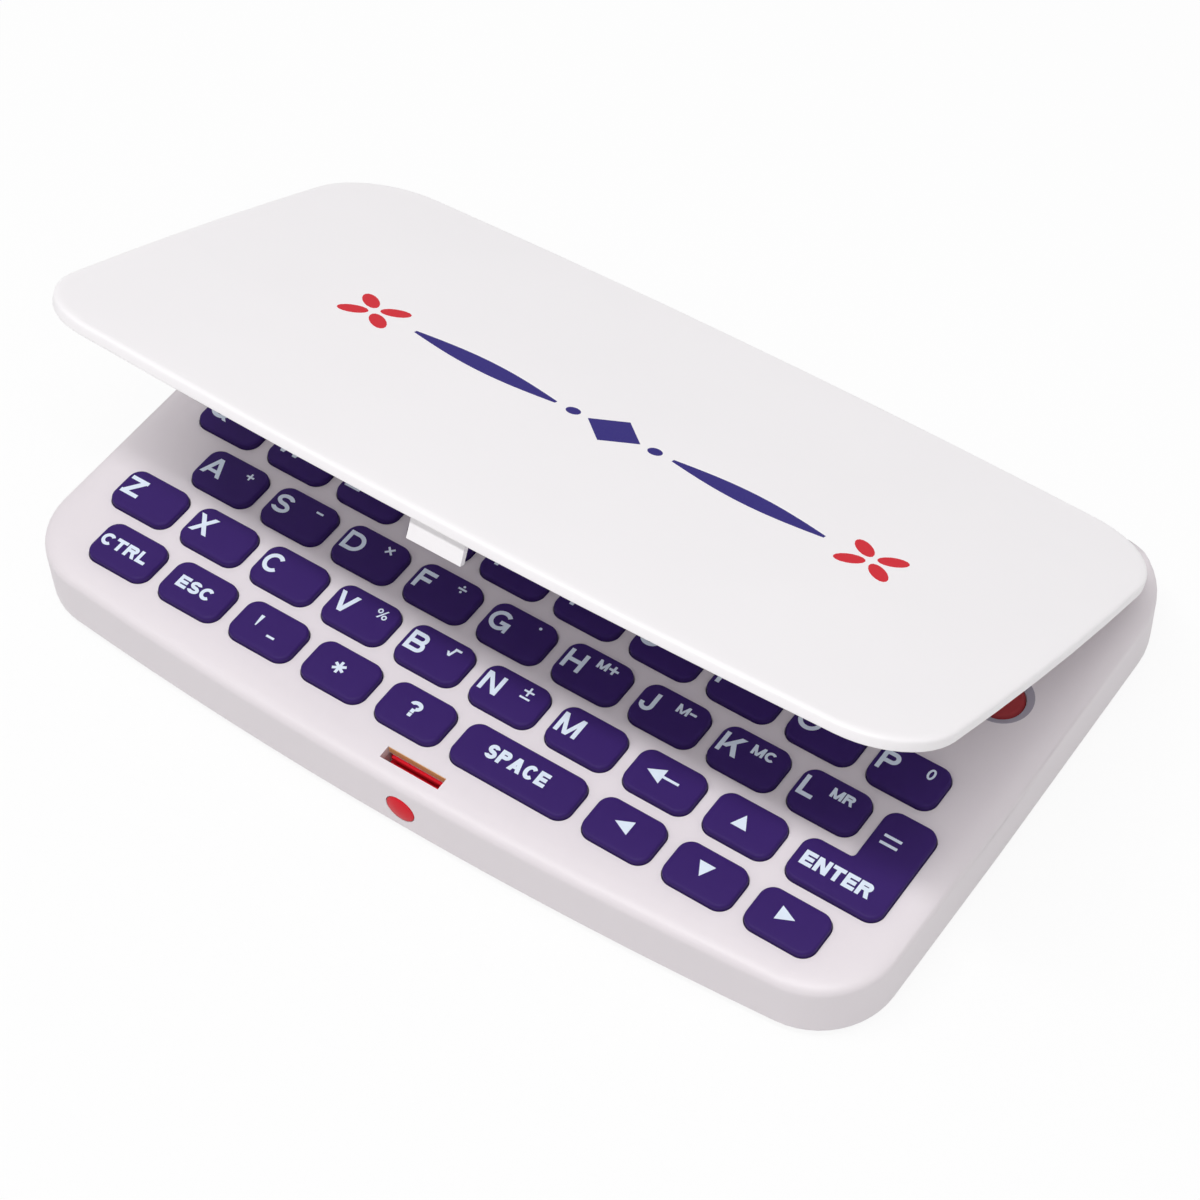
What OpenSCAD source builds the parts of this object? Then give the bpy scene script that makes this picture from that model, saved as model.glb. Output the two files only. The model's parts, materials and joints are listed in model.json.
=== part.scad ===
// Pocket electronic dictionary with a flip cover, a rubber-key keyboard and a display
// Millimetres, Z up. The origin is on the table under the middle of the casing.
// The keyboard side is at -Y, the cover's hinge is at +Y.

/* [Casing] */
// Width of the casing
case_w = 117.3; // [117:0.1:124]
// Depth of the casing, front to back
case_d = 79.3; // [78:0.1:84]
// Height of the casing, without its feet
case_h = 8.8; // [8.8:0.1:12]
// Radius of the two front corners
front_corner_r = 9.9; // [7:0.1:10.4]
// Radius of the two rear corners
rear_corner_r = 11.6; // [8:0.1:13]
// How far the front edge bows forward
front_bow = 2.96; // [1:0.02:3.4]
// How far the rear edge bows backward
rear_bow = 2.24; // [1:0.02:3]
// Thickness of the side wall
wall_t = 1.6; // [1.2:0.05:1.7]
// Thickness of the deck around the keys
deck_t = 1.2; // [1:0.05:1.3]
// Radius of the rounded rear of the deck
rear_roll_r = 9; // [8.6:0.1:12]
// Height of the rubber feet below the casing
foot_h = 0.6; // [0.4:0.1:2]

/* [Keys] */
// Distance from the casing's left side to the leftmost key
left_margin = 5.455; // [5:0.005:8]
// Distance from the ENTER key to the casing's right side
right_margin = 4.05; // [3.8:0.05:7]
// Distance from the casing's front edge to the front row
front_margin = 5.89; // [5.8:0.01:8]
// Distance from the rear row to the display
display_margin = 5.32; // [5.2:0.01:8]
// Distance between two keys of a row
key_space = 1.77; // [1.6:0.01:3]
// Distance between two rows of keys
row_space = 1.76; // [1.6:0.01:3]
// Height of a key above the deck
key_rise = 0.8; // [0.4:0.05:1]
// Radius of a key's corners, seen from above
key_corner_r = 1.7; // [1:0.1:2]
// Rounding of a key's upper edge
key_edge_r = 0.45; // [0.2:0.05:0.6]
// Gap around a key in its opening
key_gap = 0.12; // [0.1:0.01:0.2]

/* [Lid] */
// Thickness of the lid
lid_t = 1.6; // [1.4:0.05:1.9]
// Angle at which the lid stands open
lid_open = 26.04; // [0:0.02:90]
// Width of each hinge knuckle
knuckle_w = 14.2; // [10:0.1:15]
// Outer radius of the hinge knuckles
knuckle_r = 1.7; // [1.5:0.05:1.75]
// Radius of the hinge pins
hinge_pin_r = 0.6; // [0.4:0.05:0.75]

/* [Latch] */
// Sideways place of the latch, from the middle of the casing
latch_x = 0.8; // [-8:0.1:8]
// Width of the latch slot
slot_w = 8.1; // [6:0.1:10]
// Radius of the release button
release_r = 1.9; // [1.3:0.05:1.95]

/* [Display and power] */
// Distance from the casing's left side to the clear display window
lens_left_margin = 14.65; // [12:0.05:24]
// Distance from the clear display window to the casing's right side
lens_right_margin = 18.65; // [17:0.05:28]
// Depth of the clear display window
lens_d = 23.5; // [18:0.1:24]
// Radius of the power button
power_r = 2.75; // [2:0.05:3.2]

/* [Battery] */
// Radius of a coin cell
cell_r = 10; // [8:0.1:10.3]
// Thickness of a coin cell
cell_t = 3.2; // [1.6:0.1:3.5]

/* [Hidden] */
$fn = 48;

// heights above the table
floor_z = foot_h;
floor_t = 1.2;
split_z = floor_z + floor_t;
deck_z = floor_z + case_h;
under_deck_z = deck_z - deck_t;

// steps of the outlines' arcs
edge_steps = 8;
corner_steps = 12;
side_steps = 5;

// outline of the casing
front_y = -case_d / 2;
crown_w = 3.6;
crown_t = 1.7;
side_bow = 0.32;
case_parts = [case_w, case_d, front_corner_r, rear_corner_r, front_bow, side_bow, rear_bow];
white = [0.94, 0.92, 0.93];
violet = [0.24, 0.15, 0.43];
red = [0.82, 0.16, 0.2];

// outline of the closed lid
lid_gap = key_rise + 0.15;
lid_w = case_w + 0.5;
lid_d = case_d - 8.83;
lid_front_y = front_y + 1.25;
lid_y = lid_front_y + lid_d / 2;
lid_z = deck_z + lid_gap;
lid_front_corner_r = front_corner_r - 0.04;
lid_rear_corner_r = rear_corner_r + 0.1;
lid_bows = [2.02, 1.05, 2.48];
lid_parts = concat([lid_w, lid_d, lid_front_corner_r, lid_rear_corner_r], lid_bows);
roll_y = lid_front_y + lid_d;
pad_r = 1;
pad_t = lid_gap - 0.1;
pad_side = [3.7, 6.4];
pad_from_row = 0.66;
pad_from_rear = 11.07;

// hinge
hinge_from_side = 24.65;
hinge_x = case_w / 2 - hinge_from_side;
hinge_y = case_d / 2 - 2.7;
hinge_z = deck_z - 2.8;
hinge_play = 0.08;
pin_fit = 0.02;
arm_front_y = hinge_y - 9.15;
arm_rear_y = hinge_y - 6.15;
pocket_w = knuckle_w + 0.4;
pocket_front_y = hinge_y - 8.35;
pocket_front_z = deck_z - 4;
pocket_step_y = hinge_y - 2.15;
pocket_floor_z = deck_z - 6;
pocket_wall = 0.8;
boss_t = 2.6;
boss_w = pocket_w + 2 * boss_t;
pin_l = boss_w - 0.4;

// inner shape of a key
flange_t = 0.6;
flange_play = 0.1;
flange_out = 0.5;
flange_z = under_deck_z - flange_play - flange_t;
foot_t = 0.8;
foot_corner_r = 0.8;
foot_play = 0.2;

// boards under the keys
key_travel = 0.8;
stack_z = flange_z - foot_t - key_travel - 0.3;
mat_t = 0.8;
pcb_t = 1;
pcb_z = stack_z - pcb_t;

// battery bay
cell_gap = 1.8;
cell_x = cell_r + cell_gap / 2;
cell_from_rear = 0.8;
bay_side = 5.6;
bay_front = 3;
bay_from_pocket = 1;
pocket_r = cell_r + 0.3;
bay_w = 2 * (cell_x + cell_r + bay_side);
bay_rear_y = pocket_front_y - bay_from_pocket;
cell_y = bay_rear_y - cell_from_rear - pocket_r;
cell_z = split_z + 0.1;
bay_front_y = cell_y - cell_r - bay_front;
pocket_top_z = cell_z + cell_t + 0.5;
cover_side = 2.55;
cover_in = 1.5;
cover_w = bay_w - 2 * cover_side;
cover_front_y = bay_front_y + cover_in;
cover_gap = 0.1;
cover_slide = 8;
rail_in = 3;
rail_end = 2;
rail_front_y = cover_front_y + rail_in;
rail_rear_y = bay_rear_y - rail_end;
rail_w = 0.95;
rail_t = 0.5;
rail_play = 0.2;
grip_in = 0.6;
pillar_side = 13.65;
pillar_front = 17.65;
pillar_from_bay = [3.5, 15.5];
pillar_places = [
  [case_w / 2 - pillar_side, front_y + pillar_front],
  [bay_w / 2 + pillar_from_bay[0], bay_front_y - pillar_from_bay[1]],
  [case_w / 2 - pillar_side, cell_y + pillar_from_bay[0]]
];
chip_x = -20;
chip_from_bay = 11.5;

// display
lens_from_pocket = 2.6;
lcd_side = 2;
lens_w = case_w - lens_left_margin - lens_right_margin;
lens_x = (lens_left_margin - lens_right_margin) / 2;
lcd_rear_y = pocket_front_y - lens_from_pocket;
lens_y = lcd_rear_y - lens_d / 2;
lens_t = 0.8;
lens_margin = 4;
lcd_w = lens_w - 2 * lcd_side;
lcd_step = 2;
lcd_t = 1.5;
lcd_z = under_deck_z - 0.1 - lcd_t;
connector_side = 7;
connector_in = 0.3;
connector_d = 1.6;
connector_play = 0.6;
connector_front_y = bay_front_y - connector_play - connector_d;
lcd_front_y = connector_front_y - connector_in;
bay_top_z = lcd_z - 0.2;

// key places
front_row_y = front_y + front_margin;
rear_row_y = lcd_front_y - display_margin;
row_pitch = (rear_row_y - front_row_y + row_space) / 4;
key_d = row_pitch - row_space;
row_4_y = front_row_y + key_d / 2;
row_3_y = row_4_y + row_pitch;
row_2_y = row_3_y + row_pitch;
row_1_y = row_2_y + row_pitch;
enter_gap = 1.965;
enter_extra = 3.37;
enter_less = 2.28;
key_pitch = (case_w - left_margin - right_margin + 2 * key_space - enter_gap - enter_extra) / 10;
key_w = key_pitch - key_space;
row_1_shift = 0.78;
row_2_shift = 0.67;
row_4_shift = 3.14;
arrow_shift = -0.08;
row_3_x = left_margin + key_w / 2 - case_w / 2;
row_1_x = row_3_x + row_1_shift;
row_2_x = row_3_x + key_pitch / 2 + row_2_shift;
row_4_x = row_3_x + row_4_shift;
arrow_x = row_3_x + 7 * key_pitch + arrow_shift;
space_left = row_4_x + 5 * key_pitch - key_w / 2;
space_right = arrow_x - key_pitch + key_w / 2;
row_1 = [for (i = [0:9]) [row_1_x + i * key_pitch, row_1_y, key_w]];
row_2 = [for (i = [0:8]) [row_2_x + i * key_pitch, row_2_y, key_w]];
row_3 = [for (i = [0:8]) [row_3_x + i * key_pitch, row_3_y, key_w]];
row_4 = [for (i = [0:4]) [row_4_x + i * key_pitch, row_4_y, key_w]];
arrows = [for (i = [0:2]) [arrow_x + i * key_pitch, row_4_y, key_w]];
space_place = [(space_left + space_right) / 2, row_4_y, space_right - space_left];
plain_keys = concat(row_1, row_2, row_3, row_4, arrows, [space_place]);
enter_right_x = case_w / 2 - right_margin;
enter_w = key_w + enter_extra;
enter_x = enter_right_x - enter_w / 2;
enter_tall_w = key_w - enter_less;
enter_tall_d = row_pitch + key_d;
enter_tall_x = enter_right_x - enter_tall_w / 2;
enter_tall_y = row_3_y + row_pitch / 2;
foot_side = 1.115;
foot_end = 1.12;
foot_w = key_w - 2 * foot_side;
foot_d = key_d - 2 * foot_end;
pad_places = [[lid_w / 2 - pad_side[0], row_1_y - pad_from_row], [lid_w / 2 - pad_side[1], roll_y - pad_from_rear]];

// latch
slot_front_y = front_y + 2.15;
slot_rear_y = front_y + 3.8;
release_z = deck_z - 4.58;
release_play = 0.1;
dome_r = 6;
slide_w = slot_w - 0.3;
slide_front_y = front_y + 1.75;
slide_rear_y = front_y + 4.55;
slide_web_t = 0.6;
slide_floor_z = under_deck_z - 2.2;
slide_floor_t = 0.7;
slide_top_z = under_deck_z - 0.1;
guide_t = 0.8;
guide_gap = 0.2;
catch_t = 0.4;
catch_front_y = slot_rear_y - 0.35;
lug_w = 3.2;
hook_w = slot_w - 1;
hook_front_y = slot_front_y + 0.2;
hook_rear_y = hook_front_y + 0.75;
hook_z = under_deck_z - 0.9;
barb_t = 0.3;
spring_z = split_z + 1.35;
spring_end_y = slide_rear_y + 4.8;
spring_r = 0.95;
wire_r = 0.16;
spring_turns = 5;
board_cut_w = slot_w + 2.7;

// screws, pillars and feet
screw_side = [5.05, 5.15, 7.15];
screw_from_row = 6.66;
screw_from_lcd = 1.6;
screw_from_rear = 10.15;
screw_places = [
  [case_w / 2 - screw_side[0], row_3_y - screw_from_row],
  [case_w / 2 - screw_side[1], lcd_front_y - screw_from_lcd],
  [case_w / 2 - screw_side[2], case_d / 2 - screw_from_rear]
];
post_r = 1.9;
thread_r = 1;
head_r = 1.75;
board_cut_r = post_r + 0.4;
pillar_r = 1.5;
foot_r = 4;
foot_recess = 0.4;
foot_side_x = [15.65, 17.15];
foot_from_front = 10.65;
foot_places = [
  [case_w / 2 - foot_side_x[0], front_y + foot_from_front],
  [case_w / 2 - foot_side_x[1], case_d / 2 - screw_from_rear]
];

// power button
power_from_side = 8.45;
power_from_lcd = 7.1;
power_x = case_w / 2 - power_from_side;
power_y = lcd_front_y + power_from_lcd;
dish_r = power_r + 1.05;
dish_t = 0.5;
power_play = 0.12;

// Point where two circles meet, on the chosen side of the line between their centres
function meet(c, r, k, s, side) =
  let (d = k - c, g = norm(d), a = (r * r - s * s + g * g) / (2 * g), h = sqrt(max(r * r - a * a, 0)))
  c + a * d / g + side * h * [-d[1], d[0]] / g;

// Point of the circle (c, r) in the direction of k
function towards(c, r, k) = c + r * (k - c) / norm(k - c);

// Points of an arc about c from p to q, without the first
function arc(c, r, p, q, n) =
  let (a = atan2(p[1] - c[1], p[0] - c[0]), b = atan2(q[1] - c[1], q[0] - c[0]),
       t = (b - a + 540) % 360 - 180)
  [for (i = [1:n]) c + r * [cos(a + t * i / n), sin(a + t * i / n)]];

// Rounded oblong with bowed sides, drawn inward by inset
function outline(parts, inset) =
  let (hw = parts[0] / 2, hd = parts[1] / 2, fr = parts[2], rr = parts[3],
       f = (hw * hw + parts[4] * parts[4]) / (2 * parts[4]),
       s = (hd * hd + parts[5] * parts[5]) / (2 * parts[5]),
       b = (hw * hw + parts[6] * parts[6]) / (2 * parts[6]),
       cf = [0, f - hd], cs = [hw - s, 0], cb = [0, hd - b],
       k1 = meet(cf, f - fr, cs, s - fr, 1), k2 = meet(cb, b - rr, cs, s - rr, -1),
       p0 = [0, inset - hd], p1 = towards(cf, f - inset, k1), p2 = towards(cs, s - inset, k1),
       p3 = towards(cs, s - inset, k2), p4 = towards(cb, b - inset, k2), p5 = [0, hd - inset],
       half = concat([p0], arc(cf, f - inset, p0, p1, edge_steps), arc(k1, fr - inset, p1, p2, corner_steps),
                     arc(cs, s - inset, p2, p3, side_steps), arc(k2, rr - inset, p3, p4, corner_steps),
                     arc(cb, b - inset, p4, p5, edge_steps)))
  concat(half, [for (i = [len(half) - 2:-1:1]) [-half[i][0], half[i][1]]]);

// Body through a stack of outlines, each given as [inset, height]
module stack(parts, levels) {
  rings = [for (l = levels) [for (p = outline(parts, l[0])) [p[0], p[1], l[1]]]];
  n = len(rings[0]);
  m = len(rings);
  points = [for (r = rings) each r];
  sides = [for (j = [0:m - 2], i = [0:n - 1])
    [j * n + i, (j + 1) * n + i, (j + 1) * n + (i + 1) % n, j * n + (i + 1) % n]];
  polyhedron(points, concat([[for (i = [0:n - 1]) i]], [[for (i = [n - 1:-1:0]) (m - 1) * n + i]], sides));
}

// Levels of a soft edge that runs from the side, t below z, in to the flat top at inset w
function soft_edge(z, w, t, steps) = [for (a = steps) [w * (1 - cos(a)), z - t * (1 - pow(sin(a), 0.56))]];

module plate(parts, inset, z, t) {
  translate([0, 0, z]) linear_extrude(t) polygon(outline(parts, inset));
}

module both_sides() {
  children();
  mirror([1, 0, 0]) children();
}

module box(low, high) {
  translate(low) cube(high - low);
}

module rounded(w, d, r) {
  square([w - 2 * r, d], center = true);
  square([w, d - 2 * r], center = true);
  for (x = [-1, 1], y = [-1, 1]) translate([x * (w / 2 - r), y * (d / 2 - r)]) circle(r);
}

module rounded_slab(w, d, r, z, t) {
  translate([0, 0, z]) linear_extrude(t) rounded(w, d, r);
}

// Half section of a key's rim: a band with its outer top edge rounded
module rim_section(r, h, e) {
  square([r - e, h]);
  square([r, h - e]);
  translate([r - e, h - e]) intersection() {
    circle(e);
    square(e);
  }
}

module rim_bar(len, r, h, e) {
  rotate([90, 0, 90]) linear_extrude(len) rim_section(r, h, e);
}

module rim_corner(r, h, e) {
  rotate_extrude(angle = 90) rim_section(r, h, e);
}

// Block with round corners and a soft upper edge
module soft_block(w, d, h, r, e) {
  x = w / 2 - r;
  y = d / 2 - r;
  translate([-x, -y, 0]) cube([2 * x, 2 * y, h]);
  for (s = [0, 180]) rotate([0, 0, s]) {
    translate([-x, y, 0]) rim_bar(2 * x, r, h, e);
    translate([x, y, 0]) rotate([0, 0, -90]) rim_bar(2 * y, r, h, e);
    translate([x, y, 0]) rim_corner(r, h, e);
    translate([x, -y, 0]) rotate([0, 0, -90]) rim_corner(r, h, e);
  }
}

module key_body(w, d) {
  z = flange_z + flange_t;
  translate([0, 0, z]) soft_block(w, d, deck_z + key_rise - z, key_corner_r, key_edge_r);
}

module key_foot(w) {
  rounded_slab(w - key_w + foot_w, foot_d, foot_corner_r, flange_z - foot_t, foot_t);
}

module key_flange(w, d) {
  rounded_slab(w + 2 * flange_out, d + 2 * flange_out, key_corner_r, flange_z, flange_t);
}

module key(place) {
  color(violet) translate([place[0], place[1], 0]) {
    key_body(place[2], key_d);
    key_flange(place[2], key_d);
    key_foot(place[2]);
  }
}

module enter_key() {
  color(violet) {
    translate([enter_x, row_3_y, 0]) {
      key_body(enter_w, key_d);
      key_flange(enter_w, key_d);
      key_foot(key_w);
    }
    translate([enter_tall_x, enter_tall_y, 0]) {
      key_body(enter_tall_w, enter_tall_d);
      key_flange(enter_tall_w, enter_tall_d);
    }
  }
}

module key_hole(x, y, w, d) {
  translate([x, y, 0])
    rounded_slab(w + 2 * key_gap, d + 2 * key_gap, key_corner_r + key_gap, under_deck_z - 1, deck_t + 2);
}

module foot_hole(x, y, w) {
  translate([x, y, 0])
    rounded_slab(w - key_w + foot_w + 2 * foot_play, foot_d + 2 * foot_play, foot_corner_r + foot_play,
                 stack_z - 1, mat_t + 2);
}

module at_screws() {
  both_sides() for (p = screw_places) translate([p[0], p[1], 0]) children();
}

// Walls under the deck that hold a hinge pin's ends and close the pocket of a lid arm
module hinge_block() {
  box([hinge_x - pocket_w / 2 - pocket_wall, pocket_front_y - pocket_wall, pocket_front_z - pocket_wall],
      [hinge_x + pocket_w / 2 + pocket_wall, pocket_step_y + 0.1, under_deck_z + 0.1]);
  box([hinge_x - boss_w / 2, pocket_step_y - pocket_wall, pocket_floor_z - pocket_wall],
      [hinge_x + boss_w / 2, hinge_y + 0.95, under_deck_z + 0.1]);
}

module hinge_pocket() {
  box([hinge_x - pocket_w / 2, pocket_front_y, pocket_front_z],
      [hinge_x + pocket_w / 2, pocket_step_y + 0.1, deck_z + 1]);
  box([hinge_x - pocket_w / 2, pocket_step_y, pocket_floor_z],
      [hinge_x + pocket_w / 2, case_d / 2 + 1, deck_z + 1]);
  translate([hinge_x - pin_l / 2, hinge_y, hinge_z]) rotate([0, 90, 0])
    cylinder(r = hinge_pin_r + pin_fit, h = pin_l);
}

// Everything above a roll of radius r that starts under the closed lid's rear edge
module rear_trim(r) {
  difference() {
    box([-case_w, roll_y, deck_z - rear_roll_r], [case_w, case_d, deck_z + 1]);
    translate([-case_w - 1, roll_y, deck_z - rear_roll_r]) rotate([0, 90, 0])
      cylinder(r = r, h = 2 * case_w + 2, $fn = 96);
  }
}

// Deck and side wall with the openings, screw posts, latch guides and hinge pockets
module upper_case() {
  color(white) difference() {
    union() {
      difference() {
        stack(case_parts, concat([[0, split_z]], soft_edge(deck_z, crown_w, crown_t, [0, 6, 15, 27, 40, 54, 70, 90])));
        rear_trim(rear_roll_r);
        difference() {
          plate(case_parts, wall_t, split_z - 1, under_deck_z - split_z + 1);
          rear_trim(rear_roll_r - deck_t);
        }
      }
      at_screws() translate([0, 0, split_z + 0.05]) cylinder(r = post_r, h = under_deck_z - split_z);
      difference() {
        both_sides() hinge_block();
        rear_trim(rear_roll_r);
      }
      for (s = [-1, 1]) translate([latch_x + s * (slide_w / 2 + guide_gap + guide_t / 2), 0, 0])
        box([-guide_t / 2, front_y + wall_t - 0.2, slide_floor_z - 0.1],
            [guide_t / 2, slide_rear_y - 0.3, under_deck_z + 0.1]);
    }
    for (k = plain_keys) key_hole(k[0], k[1], k[2], key_d);
    key_hole(enter_x, row_3_y, enter_w, key_d);
    key_hole(enter_tall_x, enter_tall_y, enter_tall_w, enter_tall_d);
    at_screws() translate([0, 0, split_z - 1]) cylinder(r = thread_r, h = 6);
    both_sides() hinge_pocket();
    box([latch_x - slot_w / 2, slot_front_y, under_deck_z - 1], [latch_x + slot_w / 2, slot_rear_y, deck_z + 1]);
    translate([latch_x, slide_front_y + 0.5, release_z]) rotate([90, 0, 0])
      cylinder(r = release_r + release_play, h = 4);
    translate([lens_x, lens_y, 0]) {
      rounded_slab(lens_w + 0.2, lens_d + 0.2, 2.1, deck_z - lens_t, lens_t + 1);
      rounded_slab(lens_w - 2 * lens_margin, lens_d - 1.2 * lens_margin, 1, under_deck_z - 1, deck_t + 1);
    }
    translate([power_x, power_y, deck_z - dish_t]) {
      cylinder(r1 = dish_r - 0.7, r2 = dish_r + 0.01, h = dish_t + 0.01);
      translate([0, 0, -2]) cylinder(r = power_r + power_play, h = 3);
    }
  }
}

module bottom_shell() {
  stack(case_parts, [[1.1, floor_z], [0.35, floor_z + 0.3], [0.05, floor_z + 0.8], [0, split_z]]);
}

// Upright lip that stands inside the upper part's wall
module locating_lip() {
  lip_h = 1;
  difference() {
    plate(case_parts, wall_t + 0.1, split_z, lip_h);
    plate(case_parts, wall_t + 0.9, split_z - 1, lip_h + 2);
    box([latch_x - slot_w / 2 - 2, front_y, split_z], [latch_x + slot_w / 2 + 2, front_y + 10, split_z + 2]);
    box([-cover_w / 2 - 2, bay_rear_y, split_z], [cover_w / 2 + 2, case_d / 2, split_z + 2]);
    both_sides() box([hinge_x - boss_w / 2 - 0.2, bay_rear_y, split_z + 0.6],
                     [hinge_x + boss_w / 2 + 0.2, case_d / 2, split_z + 2]);
  }
}

// Bottom of the casing with its lip, board pillars and battery bay
module lower_case() {
  color(white) difference() {
    union() {
      bottom_shell();
      locating_lip();
      both_sides() for (p = pillar_places) translate([p[0], p[1], split_z])
        cylinder(r = pillar_r, h = pcb_z - split_z);
      box([latch_x - lug_w / 2, spring_end_y, split_z], [latch_x + lug_w / 2, spring_end_y + 0.8, pcb_z - 0.2]);
      box([-bay_w / 2, bay_front_y, split_z], [bay_w / 2, bay_rear_y, bay_top_z]);
    }
    box([-cover_w / 2 - cover_gap, cover_front_y - cover_gap, floor_z - 1],
        [cover_w / 2 + cover_gap, case_d / 2 + 1, split_z + 0.1]);
    both_sides() box([cover_w / 2 - rail_w - 0.3, rail_front_y - rail_play, split_z],
                     [cover_w / 2 + rail_w + 0.3, rail_rear_y + cover_slide + 0.4, split_z + rail_t + 0.3]);
    both_sides() translate([cell_x, cell_y, floor_z]) cylinder(r = pocket_r, h = pocket_top_z - floor_z);
    at_screws() {
      translate([0, 0, floor_z - 1]) cylinder(r = thread_r + 0.15, h = 4);
      translate([0, 0, floor_z - 1]) cylinder(r = head_r + 0.15, h = 1.65);
    }
    both_sides() for (p = foot_places) translate([p[0], p[1], floor_z - 1])
      cylinder(r = foot_r + 0.1, h = foot_recess + 1);
  }
}

// Lid standing open by lid_open about the hinge
module lid() {
  color(white) translate([0, hinge_y, hinge_z]) rotate([-lid_open, 0, 0]) translate([0, -hinge_y, -hinge_z]) {
    translate([0, lid_y, 0])
      stack(lid_parts, concat([[0.22, lid_z], [0.06, lid_z + 0.1], [0, lid_z + 0.25]],
                              soft_edge(lid_z + lid_t, 1.2, 0.6, [0, 10, 25, 42, 62, 90])));
    both_sides() lid_arm();
    lid_hook();
    both_sides() for (p = pad_places) translate([p[0], p[1], lid_z - pad_t]) cylinder(r = pad_r, h = pad_t + 0.1);
  }
}

// Sloping arm from the lid's underside down to a knuckle round the hinge pin
module lid_arm() {
  root_z = lid_z + 0.2;
  root = [(arm_front_y + arm_rear_y) / 2 - hinge_y, lid_z - hinge_z];
  side = 0.97 * knuckle_r * [root[1], -root[0]] / norm(root);
  difference() {
    translate([hinge_x - knuckle_w / 2, 0, 0]) rotate([90, 0, 90]) linear_extrude(knuckle_w) {
      polygon([[arm_front_y, root_z], [hinge_y - side[0], hinge_z - side[1]],
               [hinge_y + side[0], hinge_z + side[1]], [arm_rear_y, root_z]]);
      translate([hinge_y, hinge_z]) circle(knuckle_r);
    }
    translate([hinge_x - knuckle_w, hinge_y, hinge_z]) rotate([0, 90, 0])
      cylinder(r = hinge_pin_r + hinge_play, h = 2 * knuckle_w);
  }
}

// Tab under the lid's front edge that goes down into the slot
module lid_hook() {
  box([latch_x - hook_w / 2, hook_front_y, hook_z], [latch_x + hook_w / 2, hook_rear_y, lid_z + 0.1]);
  box([latch_x - hook_w / 2 + 0.3, hook_rear_y - 0.1, hook_z],
      [latch_x + hook_w / 2 - 0.3, catch_front_y - 0.1, hook_z + barb_t]);
}

module hinge_pins() {
  color([0.7, 0.7, 0.72]) both_sides() translate([hinge_x - pin_l / 2, hinge_y, hinge_z]) rotate([0, 90, 0])
    cylinder(r = hinge_pin_r, h = pin_l);
}

module display_lens() {
  color([0.6, 0.65, 0.66]) translate([lens_x, lens_y, 0])
    rounded_slab(lens_w, lens_d, 2, deck_z - lens_t, lens_t - 0.05);
}

// Two glass plates, the lower one cut back at the rear
module lcd_glass() {
  color([0.55, 0.6, 0.5]) {
    box([lens_x - lcd_w / 2, lcd_front_y, lcd_z + lcd_t / 2], [lens_x + lcd_w / 2, lcd_rear_y, lcd_z + lcd_t]);
    box([lens_x - lcd_w / 2, lcd_front_y, lcd_z], [lens_x + lcd_w / 2, lcd_rear_y - lcd_step, lcd_z + lcd_t / 2]);
  }
}

// Strip of conductive rubber between the board and the glass
module lcd_connector() {
  half = lcd_w / 2 - connector_side;
  color([0.2, 0.2, 0.22]) box([lens_x - half, connector_front_y, stack_z],
                              [lens_x + half, connector_front_y + connector_d, lcd_z]);
}

// Circuit board, cut back around the posts, the latch and the battery bay
module main_pcb() {
  color([0.1, 0.35, 0.2]) difference() {
    intersection() {
      plate(case_parts, 3, pcb_z, pcb_t);
      box([-case_w, -case_d, pcb_z - 1], [case_w, pocket_front_y - 1.6, stack_z + 1]);
    }
    at_screws() translate([0, 0, pcb_z - 1]) cylinder(r = board_cut_r, h = pcb_t + 2);
    box([-bay_w / 2 - 0.4, bay_front_y - 0.5, pcb_z - 1], [bay_w / 2 + 0.4, case_d, stack_z + 1]);
    box([latch_x - board_cut_w / 2, -case_d, pcb_z - 1], [latch_x + board_cut_w / 2, slide_rear_y + 1.3, stack_z + 1]);
  }
}

// Moulded blob over the chip under the board
module controller_chip() {
  blob_r = 6;
  rim_t = 0.5;
  color([0.08, 0.08, 0.09]) translate([chip_x, bay_front_y - chip_from_bay, pcb_z]) mirror([0, 0, 1]) {
    cylinder(r = blob_r, h = rim_t);
    translate([0, 0, rim_t]) cylinder(r1 = blob_r, r2 = blob_r - 2.5, h = 0.8);
  }
}

// Rubber sheet that the keys' feet stand in
module keypad_mat() {
  color([0.5, 0.5, 0.55]) difference() {
    intersection() {
      plate(case_parts, 3.2, stack_z, mat_t);
      box([-case_w, -case_d, stack_z - 1], [case_w, row_1_y + 4.3, stack_z + 2]);
    }
    for (k = plain_keys) foot_hole(k[0], k[1], k[2]);
    foot_hole(enter_x, row_3_y, key_w);
    at_screws() translate([0, 0, stack_z - 1]) cylinder(r = board_cut_r, h = mat_t + 2);
    box([latch_x - board_cut_w / 2, -case_d, stack_z - 1], [latch_x + board_cut_w / 2, slide_rear_y + 0.9, stack_z + 2]);
  }
}

module power_button() {
  face_r = 9;
  color(red) translate([power_x, power_y, 0]) {
    intersection() {
      translate([0, 0, under_deck_z - 0.3]) cylinder(r = power_r, h = deck_t + 0.6);
      translate([0, 0, deck_z + 0.1 - face_r]) sphere(face_r);
    }
    translate([0, 0, under_deck_z - 0.8]) cylinder(r = power_r + 0.9, h = 0.6);
    translate([0, 0, under_deck_z - 1]) cylinder(r = 1.5, h = 0.5);
  }
}

module power_switch() {
  switch_w = 4.5;
  color([0.15, 0.15, 0.17]) {
    box([power_x - switch_w / 2, power_y - switch_w / 2, stack_z],
        [power_x + switch_w / 2, power_y + switch_w / 2, under_deck_z - 1.9]);
    translate([power_x, power_y, stack_z]) cylinder(r = 1, h = under_deck_z - 1.75 - stack_z);
  }
}

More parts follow.
